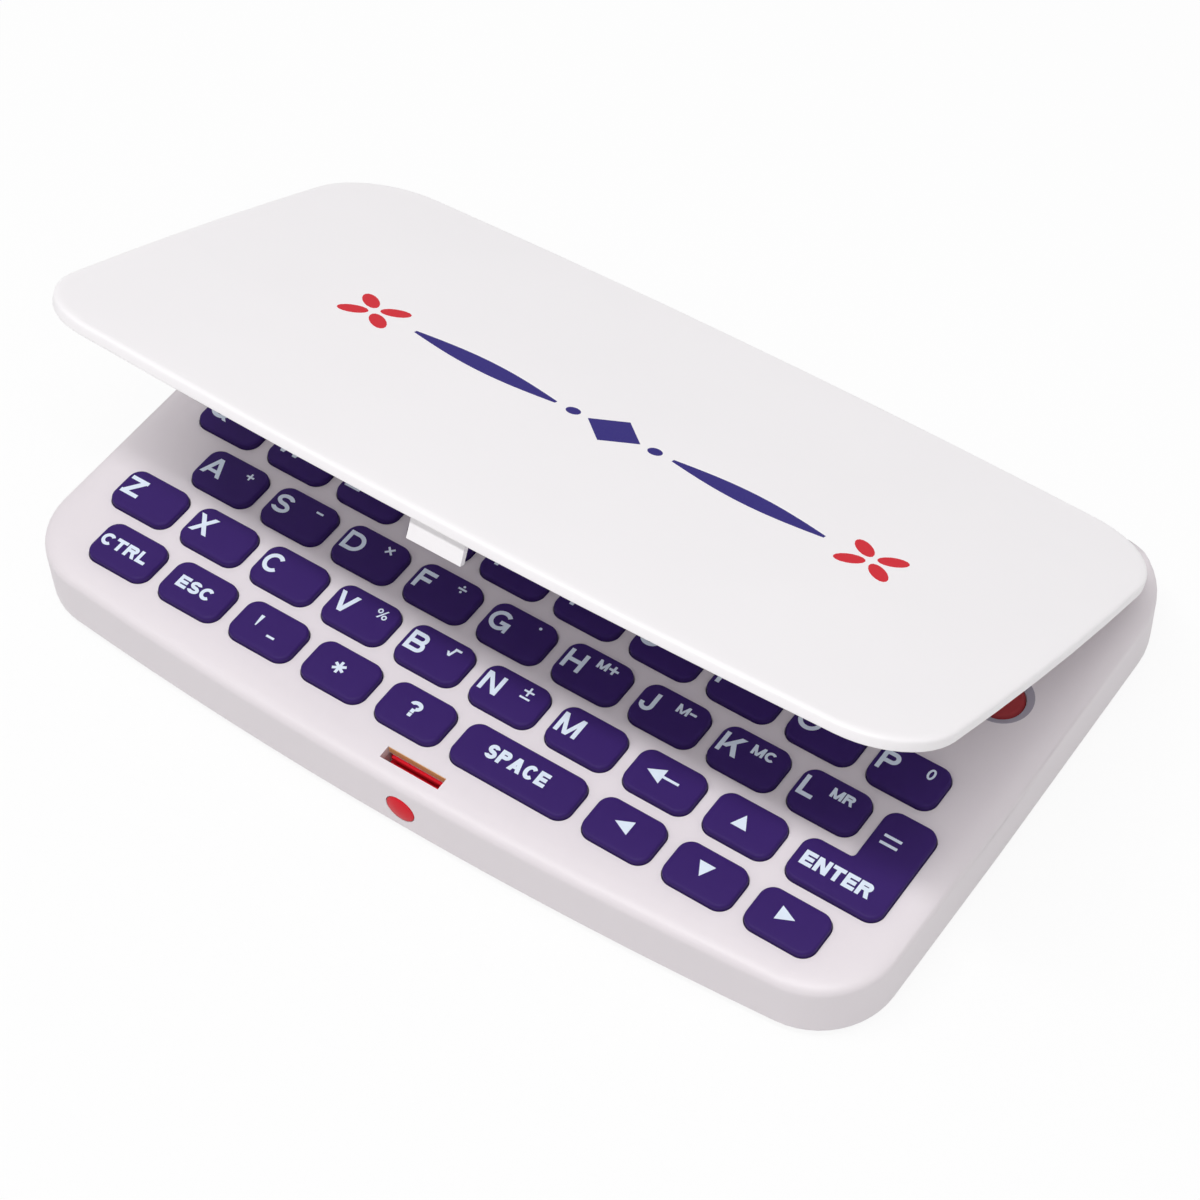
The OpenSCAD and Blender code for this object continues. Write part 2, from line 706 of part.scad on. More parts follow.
// Sliding latch: round front button, floor under the slot, catch and spring lug
module latch_slide() {
  inner_w = slide_w / 2 - 0.4;
  web_front_y = slide_rear_y - slide_web_t;
  color(red) translate([latch_x, 0, 0]) {
    intersection() {
      translate([0, slide_front_y + 0.5, release_z]) rotate([90, 0, 0])
        cylinder(r = release_r, h = slide_front_y - front_y + 0.9);
      translate([0, front_y - 0.3 + dome_r, release_z]) sphere(dome_r);
    }
    box([-slide_w / 2, slide_front_y, slide_floor_z], [slide_w / 2, slide_rear_y, slide_floor_z + slide_floor_t]);
    box([-slide_w / 2, web_front_y, slide_floor_z], [slide_w / 2, slide_rear_y, slide_top_z]);
    box([-inner_w, catch_front_y, slide_top_z - catch_t], [inner_w, slide_rear_y, slide_top_z]);
    box([-lug_w / 2, web_front_y, split_z + 0.3], [lug_w / 2, slide_rear_y, slide_floor_z + 0.1]);
    box([-1, slide_front_y + 0.2, release_z], [1, slide_rear_y, slide_floor_z + 0.1]);
  }
}

// One unbroken wire of six-sided section between the latch and its stop
module latch_spring() {
  steps = 8;
  end_gap = 0.02;
  run = spring_end_y - slide_rear_y - 2 * (wire_r + end_gap);
  n = steps * spring_turns;
  echo(clear_between_curls = run / spring_turns - 2 * wire_r);
  points = [for (i = [0:n], j = [0:5]) let (a = 360 * i / steps, r = spring_r + wire_r * cos(60 * j))
    [r * cos(a), run * i / n + wire_r * sin(60 * j), r * sin(a)]];
  sides = [for (i = [0:n - 1], j = [0:5])
    [i * 6 + j, i * 6 + (j + 1) % 6, (i + 1) * 6 + (j + 1) % 6, (i + 1) * 6 + j]];
  color([0.75, 0.75, 0.77]) translate([latch_x, slide_rear_y + wire_r + end_gap, spring_z])
    polyhedron(points, concat([[5, 4, 3, 2, 1, 0]], [[for (j = [0:5]) n * 6 + j]], sides));
}

// Sliding cover of the battery bay, part of the casing's underside
module battery_cover() {
  color(white) difference() {
    union() {
      intersection() {
        bottom_shell();
        box([-cover_w / 2, cover_front_y, 0], [cover_w / 2, case_d, split_z - cover_gap]);
      }
      both_sides() {
        box([cover_w / 2 - rail_w, rail_front_y, split_z - 0.3], [cover_w / 2, rail_rear_y, split_z + 0.1 + rail_t]);
        box([cover_w / 2 - rail_w, rail_front_y, split_z + 0.1],
            [cover_w / 2 + rail_w, rail_rear_y, split_z + 0.1 + rail_t]);
      }
    }
    for (i = [0:3]) translate([0, bay_rear_y - grip_in + 2 * i, 0])
      box([-6 - i, 0, floor_z - 1], [6 + i, 0.9, floor_z + 0.3]);
  }
}

module battery_contacts() {
  contact_w = 12;
  contact_d = 4;
  contact_t = 0.3;
  bump_r = 1.5;
  bump_out = 0.15;
  color([0.8, 0.8, 0.8]) both_sides() translate([cell_x, cell_y, pocket_top_z]) {
    translate([-contact_w / 2, -contact_d / 2, -contact_t]) cube([contact_w, contact_d, contact_t]);
    translate([0, 0, -contact_t - bump_out]) cylinder(r = bump_r, h = contact_t);
  }
}

module coin_cells() {
  color([0.75, 0.75, 0.76]) both_sides() translate([cell_x, cell_y, cell_z]) {
    cylinder(r = cell_r, h = cell_t - 0.3);
    cylinder(r = cell_r - 1.2, h = cell_t);
  }
}

module rubber_feet() {
  color([0.2, 0.2, 0.2]) both_sides() for (p = foot_places) translate([p[0], p[1], 0])
    cylinder(r = foot_r, h = floor_z + foot_recess);
}

module case_screws() {
  head_t = 0.55;
  head_in = 0.1;
  thread_l = 5;
  cross_w = 0.4;
  cross_l = 2.2;
  cross_t = 0.3;
  color([0.5, 0.5, 0.52]) at_screws() difference() {
    union() {
      translate([0, 0, floor_z + head_in]) cylinder(r = head_r, h = head_t);
      translate([0, 0, floor_z + head_in + head_t - 0.15]) cylinder(r = thread_r - 0.05, h = thread_l);
    }
    for (a = [0, 90]) rotate([0, 0, a]) box([-cross_l / 2, -cross_w / 2, 0], [cross_l / 2, cross_w / 2, floor_z + head_in + cross_t]);
  }
}

upper_case();
lower_case();
lid();
hinge_pins();
display_lens();
lcd_glass();
lcd_connector();
main_pcb();
controller_chip();
keypad_mat();
power_button();
power_switch();
latch_slide();
latch_spring();
battery_cover();
battery_contacts();
coin_cells();
rubber_feet();
case_screws();
key(row_1[0]);  // key_q
key(row_1[1]);  // key_w
key(row_1[2]);  // key_e
key(row_1[3]);  // key_r
key(row_1[4]);  // key_t
key(row_1[5]);  // key_y
key(row_1[6]);  // key_u
key(row_1[7]);  // key_i
key(row_1[8]);  // key_o
key(row_1[9]);  // key_p
key(row_2[0]);  // key_a
key(row_2[1]);  // key_s
key(row_2[2]);  // key_d
key(row_2[3]);  // key_f
key(row_2[4]);  // key_g
key(row_2[5]);  // key_h
key(row_2[6]);  // key_j
key(row_2[7]);  // key_k
key(row_2[8]);  // key_l
key(row_3[0]);  // key_z
key(row_3[1]);  // key_x
key(row_3[2]);  // key_c
key(row_3[3]);  // key_v
key(row_3[4]);  // key_b
key(row_3[5]);  // key_n
key(row_3[6]);  // key_m
key(row_3[7]);  // key_delete
key(row_3[8]);  // key_up
key(row_4[0]);  // key_ctrl
key(row_4[1]);  // key_esc
key(row_4[2]);  // key_apostrophe
key(row_4[3]);  // key_asterisk
key(row_4[4]);  // key_question
key(space_place);  // key_space
key(arrows[0]);  // key_left
key(arrows[1]);  // key_down
key(arrows[2]);  // key_right
enter_key();  // key_enter
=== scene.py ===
import json
import math

import bmesh
import bpy
from mathutils import Matrix, Vector
from mathutils.geometry import delaunay_2d_cdt


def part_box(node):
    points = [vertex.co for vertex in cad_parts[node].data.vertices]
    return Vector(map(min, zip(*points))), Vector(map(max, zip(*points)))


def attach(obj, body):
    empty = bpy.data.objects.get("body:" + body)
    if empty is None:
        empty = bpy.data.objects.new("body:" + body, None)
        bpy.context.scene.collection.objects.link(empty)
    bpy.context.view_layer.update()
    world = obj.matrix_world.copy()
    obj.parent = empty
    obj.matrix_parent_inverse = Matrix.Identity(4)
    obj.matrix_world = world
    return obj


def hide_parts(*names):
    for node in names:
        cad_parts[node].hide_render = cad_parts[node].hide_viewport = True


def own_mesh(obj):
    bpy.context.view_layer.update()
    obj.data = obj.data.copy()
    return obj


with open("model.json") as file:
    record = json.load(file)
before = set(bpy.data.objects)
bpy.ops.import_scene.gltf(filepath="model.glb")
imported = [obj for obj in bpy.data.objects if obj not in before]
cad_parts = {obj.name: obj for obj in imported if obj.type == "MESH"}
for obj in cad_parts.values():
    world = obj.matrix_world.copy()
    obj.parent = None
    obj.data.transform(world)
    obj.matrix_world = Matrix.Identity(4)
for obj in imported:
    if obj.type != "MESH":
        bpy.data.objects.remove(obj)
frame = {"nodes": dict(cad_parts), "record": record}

bl_info = {
    "name": "Pocket Dictionary",
    "version": (1, 0, 0),
    "blender": (4, 5, 0),
    "location": "3D View > Sidebar > Dictionary",
    "description": "Dresses a pocket electronic dictionary with its keys, legends, lid and studio",
    "category": "Object",
}

MM = 0.001
JOINTS = {joint["name"]: joint for joint in frame["record"]["behaviour"]["joints"]}
HINGE = Vector(JOINTS["lid_hinge"]["pos_m"])
# The angle at which the lid stands open at rest
LID_OPEN = -math.radians(JOINTS["lid_hinge"]["range_deg"][0])
DECK_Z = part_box("upper_case")[1].z
SHUT_LID_TOP = DECK_Z + 2.55 * MM
# A key is a cap above the deck, a flange under it that stands out all round, and a foot over the mat
KEY_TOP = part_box("key_q")[1].z
KEY_DEPTH = 6.04 * MM
FLANGE_TOP = DECK_Z - 1.3 * MM
FLANGE_OUT = 0.5 * MM
FLANGE_THICKNESS = 0.6 * MM
FOOT_SIDE = 1.115 * MM
FOOT_DEPTH = 3.8 * MM
FOOT_HEIGHT = 0.8 * MM
FOOT_CORNER = 0.8 * MM


def linear(colour):
    """Turns an sRGB hex colour into linear RGB."""
    parts = [int(colour[i:i + 2], 16) / 255 for i in (1, 3, 5)]
    return [p / 12.92 if p <= 0.04045 else ((p + 0.055) / 1.055) ** 2.4 for p in parts]


def colour_prop(name, description, colour):
    """A colour that is given as sRGB hex and held as linear RGB."""
    return bpy.props.FloatVectorProperty(
        name=name, description=description, default=linear(colour), subtype="COLOR", size=3, min=0, max=1)


def length_prop(name, description, size_mm):
    """A length that is given in millimetres and held in metres."""
    return bpy.props.FloatProperty(
        name=name, description=description, default=size_mm * MM, min=0,
        subtype="DISTANCE", unit="LENGTH", precision=5)


def angle_prop(name, description, degrees):
    """An angle that is given in degrees and held in radians."""
    return bpy.props.FloatProperty(
        name=name, description=description, default=math.radians(degrees), subtype="ANGLE")


class DICT_PG_casing(bpy.types.PropertyGroup):
    colour: colour_prop("Casing colour", "Colour of the moulded casing", "#E6DFE3")
    # The lid's colour is partly its own and partly painted light: lighter than the casing's for the light
    # that its top catches
    lid_colour_and_light: colour_prop("Lid colour", "Colour of the moulded lid", "#FAF7F9")
    ornament_colour: colour_prop("Ornament colour", "Ink of the rule printed on the lid", "#291C7A")
    accent_colour: colour_prop("Accent colour", "Ink of the flowers printed on the lid", "#D62030")
    ornament_length: length_prop("Ornament length", "Length of the rule printed on the lid", 56)


class DICT_PG_keys(bpy.types.PropertyGroup):
    colour: colour_prop("Key colour", "Colour of the rubber keys", "#341965")
    ink: colour_prop("Legend colour", "Ink of the key legends", "#E0ECFA")
    corner: length_prop("Corner radius", "Radius of a key's corners, seen from above", 1.7)
    edge: length_prop("Edge radius", "Rounding of a key's upper edge", 0.36)
    letter_height: length_prop("Letter height", "Height of the large letters", 2.8)
    print_thickness: length_prop("Print thickness", "Thickness of the printed legends", 0.02)


class DICT_PG_studio(bpy.types.PropertyGroup):
    azimuth: angle_prop("Azimuth", "Camera's angle round the object", 36.756)
    elevation: angle_prop("Elevation", "Camera's angle above the table", 51.417)
    roll: angle_prop("Roll", "Camera's turn about its own axis", -2.457)
    distance: length_prop("Distance", "From the camera to the point that it looks at", 361.58)
    look_at: bpy.props.FloatVectorProperty(
        name="Look at", description="Point on the deck that the camera looks at",
        default=(4.54 * MM, -5.55 * MM), size=2, unit="LENGTH")
    key_power: bpy.props.FloatProperty(
        name="Key light", description="Power of the large softbox", default=4.3, min=0, unit="POWER")
    fill: bpy.props.FloatProperty(
        name="Fill", description="Strength of the light from all round", default=0.48, min=0)


def node(tree, kind, inputs=None, **settings):
    """Adds a node with its settings, values and links."""
    made = tree.nodes.new(kind)
    for name, value in settings.items():
        setattr(made, name, value)
    for name, value in (inputs or {}).items():
        if isinstance(value, bpy.types.NodeSocket):
            tree.links.new(value, made.inputs[name])
        else:
            made.inputs[name].default_value = value
    return made


def surface(name, colour, roughness, grain_mm, depth_mm, cloud_mm=20.0, cloud=0.03, metal=0.0, **sockets):
    """A shader with a fine grain, a faint change of tone over the piece and uneven gloss."""
    made = bpy.data.materials.get(name) or bpy.data.materials.new(name)
    made.use_nodes = True
    tree = made.node_tree
    tree.nodes.clear()
    place = node(tree, "ShaderNodeTexCoord").outputs["Object"]
    tone = node(tree, "ShaderNodeTexNoise", {"Vector": place, "Scale": 1000 / cloud_mm, "Detail": 3.0})
    grain = node(tree, "ShaderNodeTexNoise", {"Vector": place, "Scale": 1000 / grain_mm, "Detail": 2.0})
    dark = [c * (1 - cloud) for c in colour]
    # Sockets 6 and 7 are the mix node's colours and output 2 its colour result
    mixed = node(tree, "ShaderNodeMix", {
        0: tone.outputs["Fac"], 6: (*dark, 1), 7: (*colour, 1)}, data_type="RGBA")
    gloss = node(tree, "ShaderNodeMapRange", {
        "Value": grain.outputs["Fac"],
        "To Min": max(0.02, roughness - 0.05), "To Max": min(1, roughness + 0.05)})
    # The surface is a little wavy as well as grained, as a moulding that shrank over its ribs
    height = node(tree, "ShaderNodeMath", {
        0: tone.outputs["Fac"], 1: 1.5, 2: grain.outputs["Fac"]}, operation="MULTIPLY_ADD")
    bump = node(tree, "ShaderNodeBump", {
        "Height": height.outputs[0], "Strength": 0.6, "Distance": depth_mm * MM})
    shader = node(tree, "ShaderNodeBsdfPrincipled", {
        "Base Color": mixed.outputs[2], "Roughness": gloss.outputs["Result"],
        "Normal": bump.outputs["Normal"], "Metallic": metal,
        **{socket.replace("_", " "): value for socket, value in sockets.items()}})
    node(tree, "ShaderNodeOutputMaterial", {"Surface": shader.outputs["BSDF"]})
    return made


def place_piece(name, mesh, body, material, replaced=()):
    """Puts a finished mesh in the scene on its body."""
    made = bpy.data.objects.new(name, mesh)
    bpy.context.scene.collection.objects.link(made)
    mesh.materials.clear()
    mesh.materials.append(material)
    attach(made, body)
    if replaced:
        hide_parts(*replaced)
    return made


def shade(mesh, sharp_angle=40):
    """Smooth shading with a sharp edge where faces meet at more than the angle in degrees."""
    mesh.shade_smooth()
    mesh.set_sharp_from_angle(angle=math.radians(sharp_angle))


def even_shading(mesh):
    """The mesh with normals weighted by area, so that large faces look flat up to their round edges."""
    carrier = bpy.data.objects.new("carrier", mesh)
    bpy.context.scene.collection.objects.link(carrier)
    weight = carrier.modifiers.new("weight", "WEIGHTED_NORMAL")
    weight.mode = "FACE_AREA"
    weight.weight = 90
    weight.keep_sharp = True
    graph = bpy.context.evaluated_depsgraph_get()
    made = bpy.data.meshes.new_from_object(carrier.evaluated_get(graph), depsgraph=graph)
    bpy.data.objects.remove(carrier)
    return made


def smooth_copy(source):
    """A merged copy of a CAD node's mesh with flat parts joined and round parts shaded smooth."""
    mesh = frame["nodes"][source].data.copy()
    work = bmesh.new()
    work.from_mesh(mesh)
    bmesh.ops.remove_doubles(work, verts=work.verts, dist=2e-6)
    bmesh.ops.dissolve_limit(work, angle_limit=math.radians(0.4), verts=work.verts, edges=work.edges)
    work.to_mesh(mesh)
    work.free()
    shade(mesh, 35)
    return even_shading(mesh)


def dress(source, material):
    """Gives a CAD node that stays its material."""
    for slot in frame["nodes"][source].material_slots:
        slot.material = material


def loft(rings, closed_ends=True):
    """A closed mesh through rings of equal length, each a list of points."""
    work = bmesh.new()
    made = [[work.verts.new(p) for p in ring] for ring in rings]
    for low, high in zip(made, made[1:]):
        for i in range(len(low)):
            j = (i + 1) % len(low)
            work.faces.new((low[i], low[j], high[j], high[i]))
    if closed_ends:
        work.faces.new(list(reversed(made[0])))
        work.faces.new(made[-1])
    bmesh.ops.remove_doubles(work, verts=work.verts, dist=1e-7)
    bmesh.ops.recalc_face_normals(work, faces=work.faces)
    mesh = bpy.data.meshes.new("loft")
    work.to_mesh(mesh)
    work.free()
    shade(mesh)
    return mesh


def joined(meshes, name):
    """One mesh of several."""
    work = bmesh.new()
    for mesh in meshes:
        work.from_mesh(mesh)
        bpy.data.meshes.remove(mesh)
    made = bpy.data.meshes.new(name)
    work.to_mesh(made)
    work.free()
    return made


def evaluated(tree, inputs, name):
    """The plain mesh that a geometry tree makes for the named inputs."""
    carrier = bpy.data.objects.new(name, bpy.data.meshes.new(name))
    bpy.context.scene.collection.objects.link(carrier)
    modifier = carrier.modifiers.new("shape", "NODES")
    modifier.node_group = tree
    for item in tree.interface.items_tree:
        if item.item_type == "SOCKET" and item.in_out == "INPUT" and item.name in inputs:
            modifier[item.identifier] = inputs[item.name]
    graph = bpy.context.evaluated_depsgraph_get()
    mesh = bpy.data.meshes.new_from_object(carrier.evaluated_get(graph), depsgraph=graph)
    bpy.data.objects.remove(carrier)
    return mesh


def named_inputs(tree, sockets):
    """Declares a tree's inputs and output and returns the input node's sockets by name."""
    for name, kind, value in sockets:
        socket = tree.interface.new_socket(name=name, in_out="INPUT", socket_type=kind)
        if value is not None:
            socket.default_value = value
    tree.interface.new_socket(name="Geometry", in_out="OUTPUT", socket_type="NodeSocketGeometry")
    return node(tree, "NodeGroupInput").outputs


def key_tree():
    """Geometry tree of a key: cap with a swept round edge, flange and foot."""
    tree = bpy.data.node_groups.get("rubber key")
    if tree:
        return tree
    tree = bpy.data.node_groups.new("rubber key", "GeometryNodeTree")
    size = named_inputs(tree, [
        ("Width", "NodeSocketFloat", 8.83 * MM), ("Depth", "NodeSocketFloat", 6.04 * MM),
        ("Corner", "NodeSocketFloat", 1.7 * MM), ("Edge", "NodeSocketFloat", 0.45 * MM),
        ("Top", "NodeSocketFloat", 10.2 * MM), ("Flange Top", "NodeSocketFloat", 8.1 * MM),
        ("Flange", "NodeSocketFloat", 0.5 * MM), ("Foot Width", "NodeSocketFloat", 6.6 * MM),
        ("Material", "NodeSocketMaterial", None)])

    def outline(width, depth, radius, steps):
        rectangle = node(tree, "GeometryNodeCurvePrimitiveQuadrilateral", {"Width": width, "Height": depth})
        return node(tree, "GeometryNodeFilletCurve", {
            "Curve": rectangle.outputs[0], "Radius": radius, "Count": steps}, mode="POLY").outputs[0]

    def moved(shape, z):
        offset = node(tree, "ShaderNodeCombineXYZ", {"Z": z}).outputs[0]
        return node(tree, "GeometryNodeTransform", {"Geometry": shape, "Translation": offset}).outputs[0]

    def merged(shapes):
        both = node(tree, "GeometryNodeJoinGeometry")
        for shape in shapes:
            tree.links.new(shape, both.inputs[0])
        return node(tree, "GeometryNodeMergeByDistance", {
            "Geometry": both.outputs[0], "Distance": 1e-6}).outputs[0]

    def block(width, depth, radius, top, thickness):
        face = node(tree, "GeometryNodeFillCurve", {
            "Curve": outline(width, depth, radius, 6)}, mode="NGONS").outputs[0]
        under = node(tree, "GeometryNodeFlipFaces", {"Mesh": face}).outputs[0]
        up = node(tree, "ShaderNodeCombineXYZ", {"Z": thickness}).outputs[0]
        raised = node(tree, "GeometryNodeExtrudeMesh", {
            "Mesh": face, "Offset": up, "Individual": False}).outputs[0]
        bottom = node(tree, "ShaderNodeMath", {0: top, 1: thickness}, operation="SUBTRACT").outputs[0]
        return moved(merged((raised, under)), bottom)

    # The cap: a quarter circle and the wall under it, swept along the outline of the flat top
    edge = size["Edge"]
    twice = node(tree, "ShaderNodeMath", {0: edge, 1: 2.0}, operation="MULTIPLY").outputs[0]
    inner = outline(*(
        node(tree, "ShaderNodeMath", {0: size[name], 1: cut}, operation="SUBTRACT").outputs[0]
        for name, cut in (("Width", twice), ("Depth", twice), ("Corner", edge))), 10)
    path = node(tree, "GeometryNodeSetCurveNormal", {"Curve": inner}, mode="Z_UP").outputs[0]
    arc = node(tree, "GeometryNodeCurveArc", {
        "Resolution": 9, "Radius": edge, "Start Angle": -math.pi / 2, "Sweep Angle": math.pi / 2},
        mode="RADIUS")
    shoulder = node(tree, "ShaderNodeMath", {0: size["Top"], 1: edge}, operation="SUBTRACT").outputs[0]
    height = node(tree, "ShaderNodeMath", {
        0: shoulder, 1: size["Flange Top"]}, operation="SUBTRACT").outputs[0]
    start = node(tree, "ShaderNodeCombineXYZ", {"X": edge}).outputs[0]
    end = node(tree, "ShaderNodeCombineXYZ", {"X": edge, "Y": height}).outputs[0]
    wall = node(tree, "GeometryNodeCurvePrimitiveLine", {"Start": start, "End": end})
    sections = node(tree, "GeometryNodeJoinGeometry")
    tree.links.new(arc.outputs[0], sections.inputs[0])
    tree.links.new(wall.outputs[0], sections.inputs[0])
    rim = node(tree, "GeometryNodeCurveToMesh", {
        "Curve": path, "Profile Curve": sections.outputs[0]}).outputs[0]
    top = node(tree, "GeometryNodeFillCurve", {"Curve": inner}, mode="NGONS").outputs[0]
    top_face = moved(top, edge)
    base = node(tree, "GeometryNodeFillCurve", {
        "Curve": outline(size["Width"], size["Depth"], size["Corner"], 10)}, mode="NGONS").outputs[0]
    down = node(tree, "ShaderNodeMath", {0: height, 1: -1.0}, operation="MULTIPLY").outputs[0]
    base_face = moved(node(tree, "GeometryNodeFlipFaces", {"Mesh": base}).outputs[0], down)
    body = moved(merged((rim, top_face, base_face)), shoulder)

    wide, deep = (
        node(tree, "ShaderNodeMath", {
            0: size["Flange"], 1: 2.0, 2: size[name]}, operation="MULTIPLY_ADD").outputs[0]
        for name in ("Width", "Depth"))
    flange = block(wide, deep, size["Corner"], size["Flange Top"], FLANGE_THICKNESS)
    foot_top = node(tree, "ShaderNodeMath", {
        0: size["Flange Top"], 1: FLANGE_THICKNESS}, operation="SUBTRACT").outputs[0]
    foot = block(size["Foot Width"], FOOT_DEPTH, FOOT_CORNER, foot_top, FOOT_HEIGHT)
    parts = node(tree, "GeometryNodeJoinGeometry")
    for part in (body, flange, foot):
        tree.links.new(part, parts.inputs[0])
    real = node(tree, "GeometryNodeRealizeInstances", {"Geometry": parts.outputs[0]}).outputs[0]
    done = node(tree, "GeometryNodeSetMaterial", {
        "Geometry": real, "Material": size["Material"]}).outputs[0]
    node(tree, "NodeGroupOutput", {0: done})
    return tree


def bar(x0, y0, x1, y1):
    """A level or upright stroke."""
    return [(x0, y0), (x1, y0), (x1, y1), (x0, y1)]


def leg(x0, y0, x1, y1, wide):
    """A slanted stroke with level ends."""
    return [(x0, y0), (x0 + wide, y0), (x1 + wide, y1), (x1, y1)]


def bow(x0, y0, x1, y1, s, start, end):
    """A stroke along the ellipse that fills a box, from one angle to another."""
    x, y, rx, ry = (x0 + x1) / 2, (y0 + y1) / 2, (x1 - x0) / 2, (y1 - y0) / 2
    turns = [math.radians(start + (end - start) * i / 20) for i in range(21)]
    outer = [(x + rx * math.cos(t), y + ry * math.sin(t)) for t in turns]
    return outer + [(x + (rx - s) * math.cos(t), y + (ry - s) * math.sin(t)) for t in reversed(turns)]


def loop(x0, y0, x1, y1, s):
    """A closed round stroke, in two halves."""
    return [bow(x0, y0, x1, y1, s, 0, 180), bow(x0, y0, x1, y1, s, 180, 360)]


def bowl(x0, y0, x1, y1, s):
    """The round part of letters such as P, open towards the stem."""
    r = min((y1 - y0) / 2, x1 - x0 - s)
    return [bar(x0, y0, x1 - r, y0 + s), bar(x0, y1 - s, x1 - r, y1),
            bow(x1 - 2 * r, y0, x1, y1, s, -90, 90)]


def spoke(angle, s):
    """A stroke through the middle of a sign."""
    c, d = math.cos(math.radians(angle)) / 2, math.sin(math.radians(angle)) / 2
    return [(0.5 + c * a - d * b * s, 0.5 + d * a + c * b * s)
            for a, b in ((-1, -1), (1, -1), (1, 1), (-1, 1))]


def dot(x, y, r, steps=24):
    """A round dot."""
    turns = [2 * math.pi * k / steps for k in range(steps)]
    return [(x + r * math.cos(t), y + r * math.sin(t)) for t in turns]


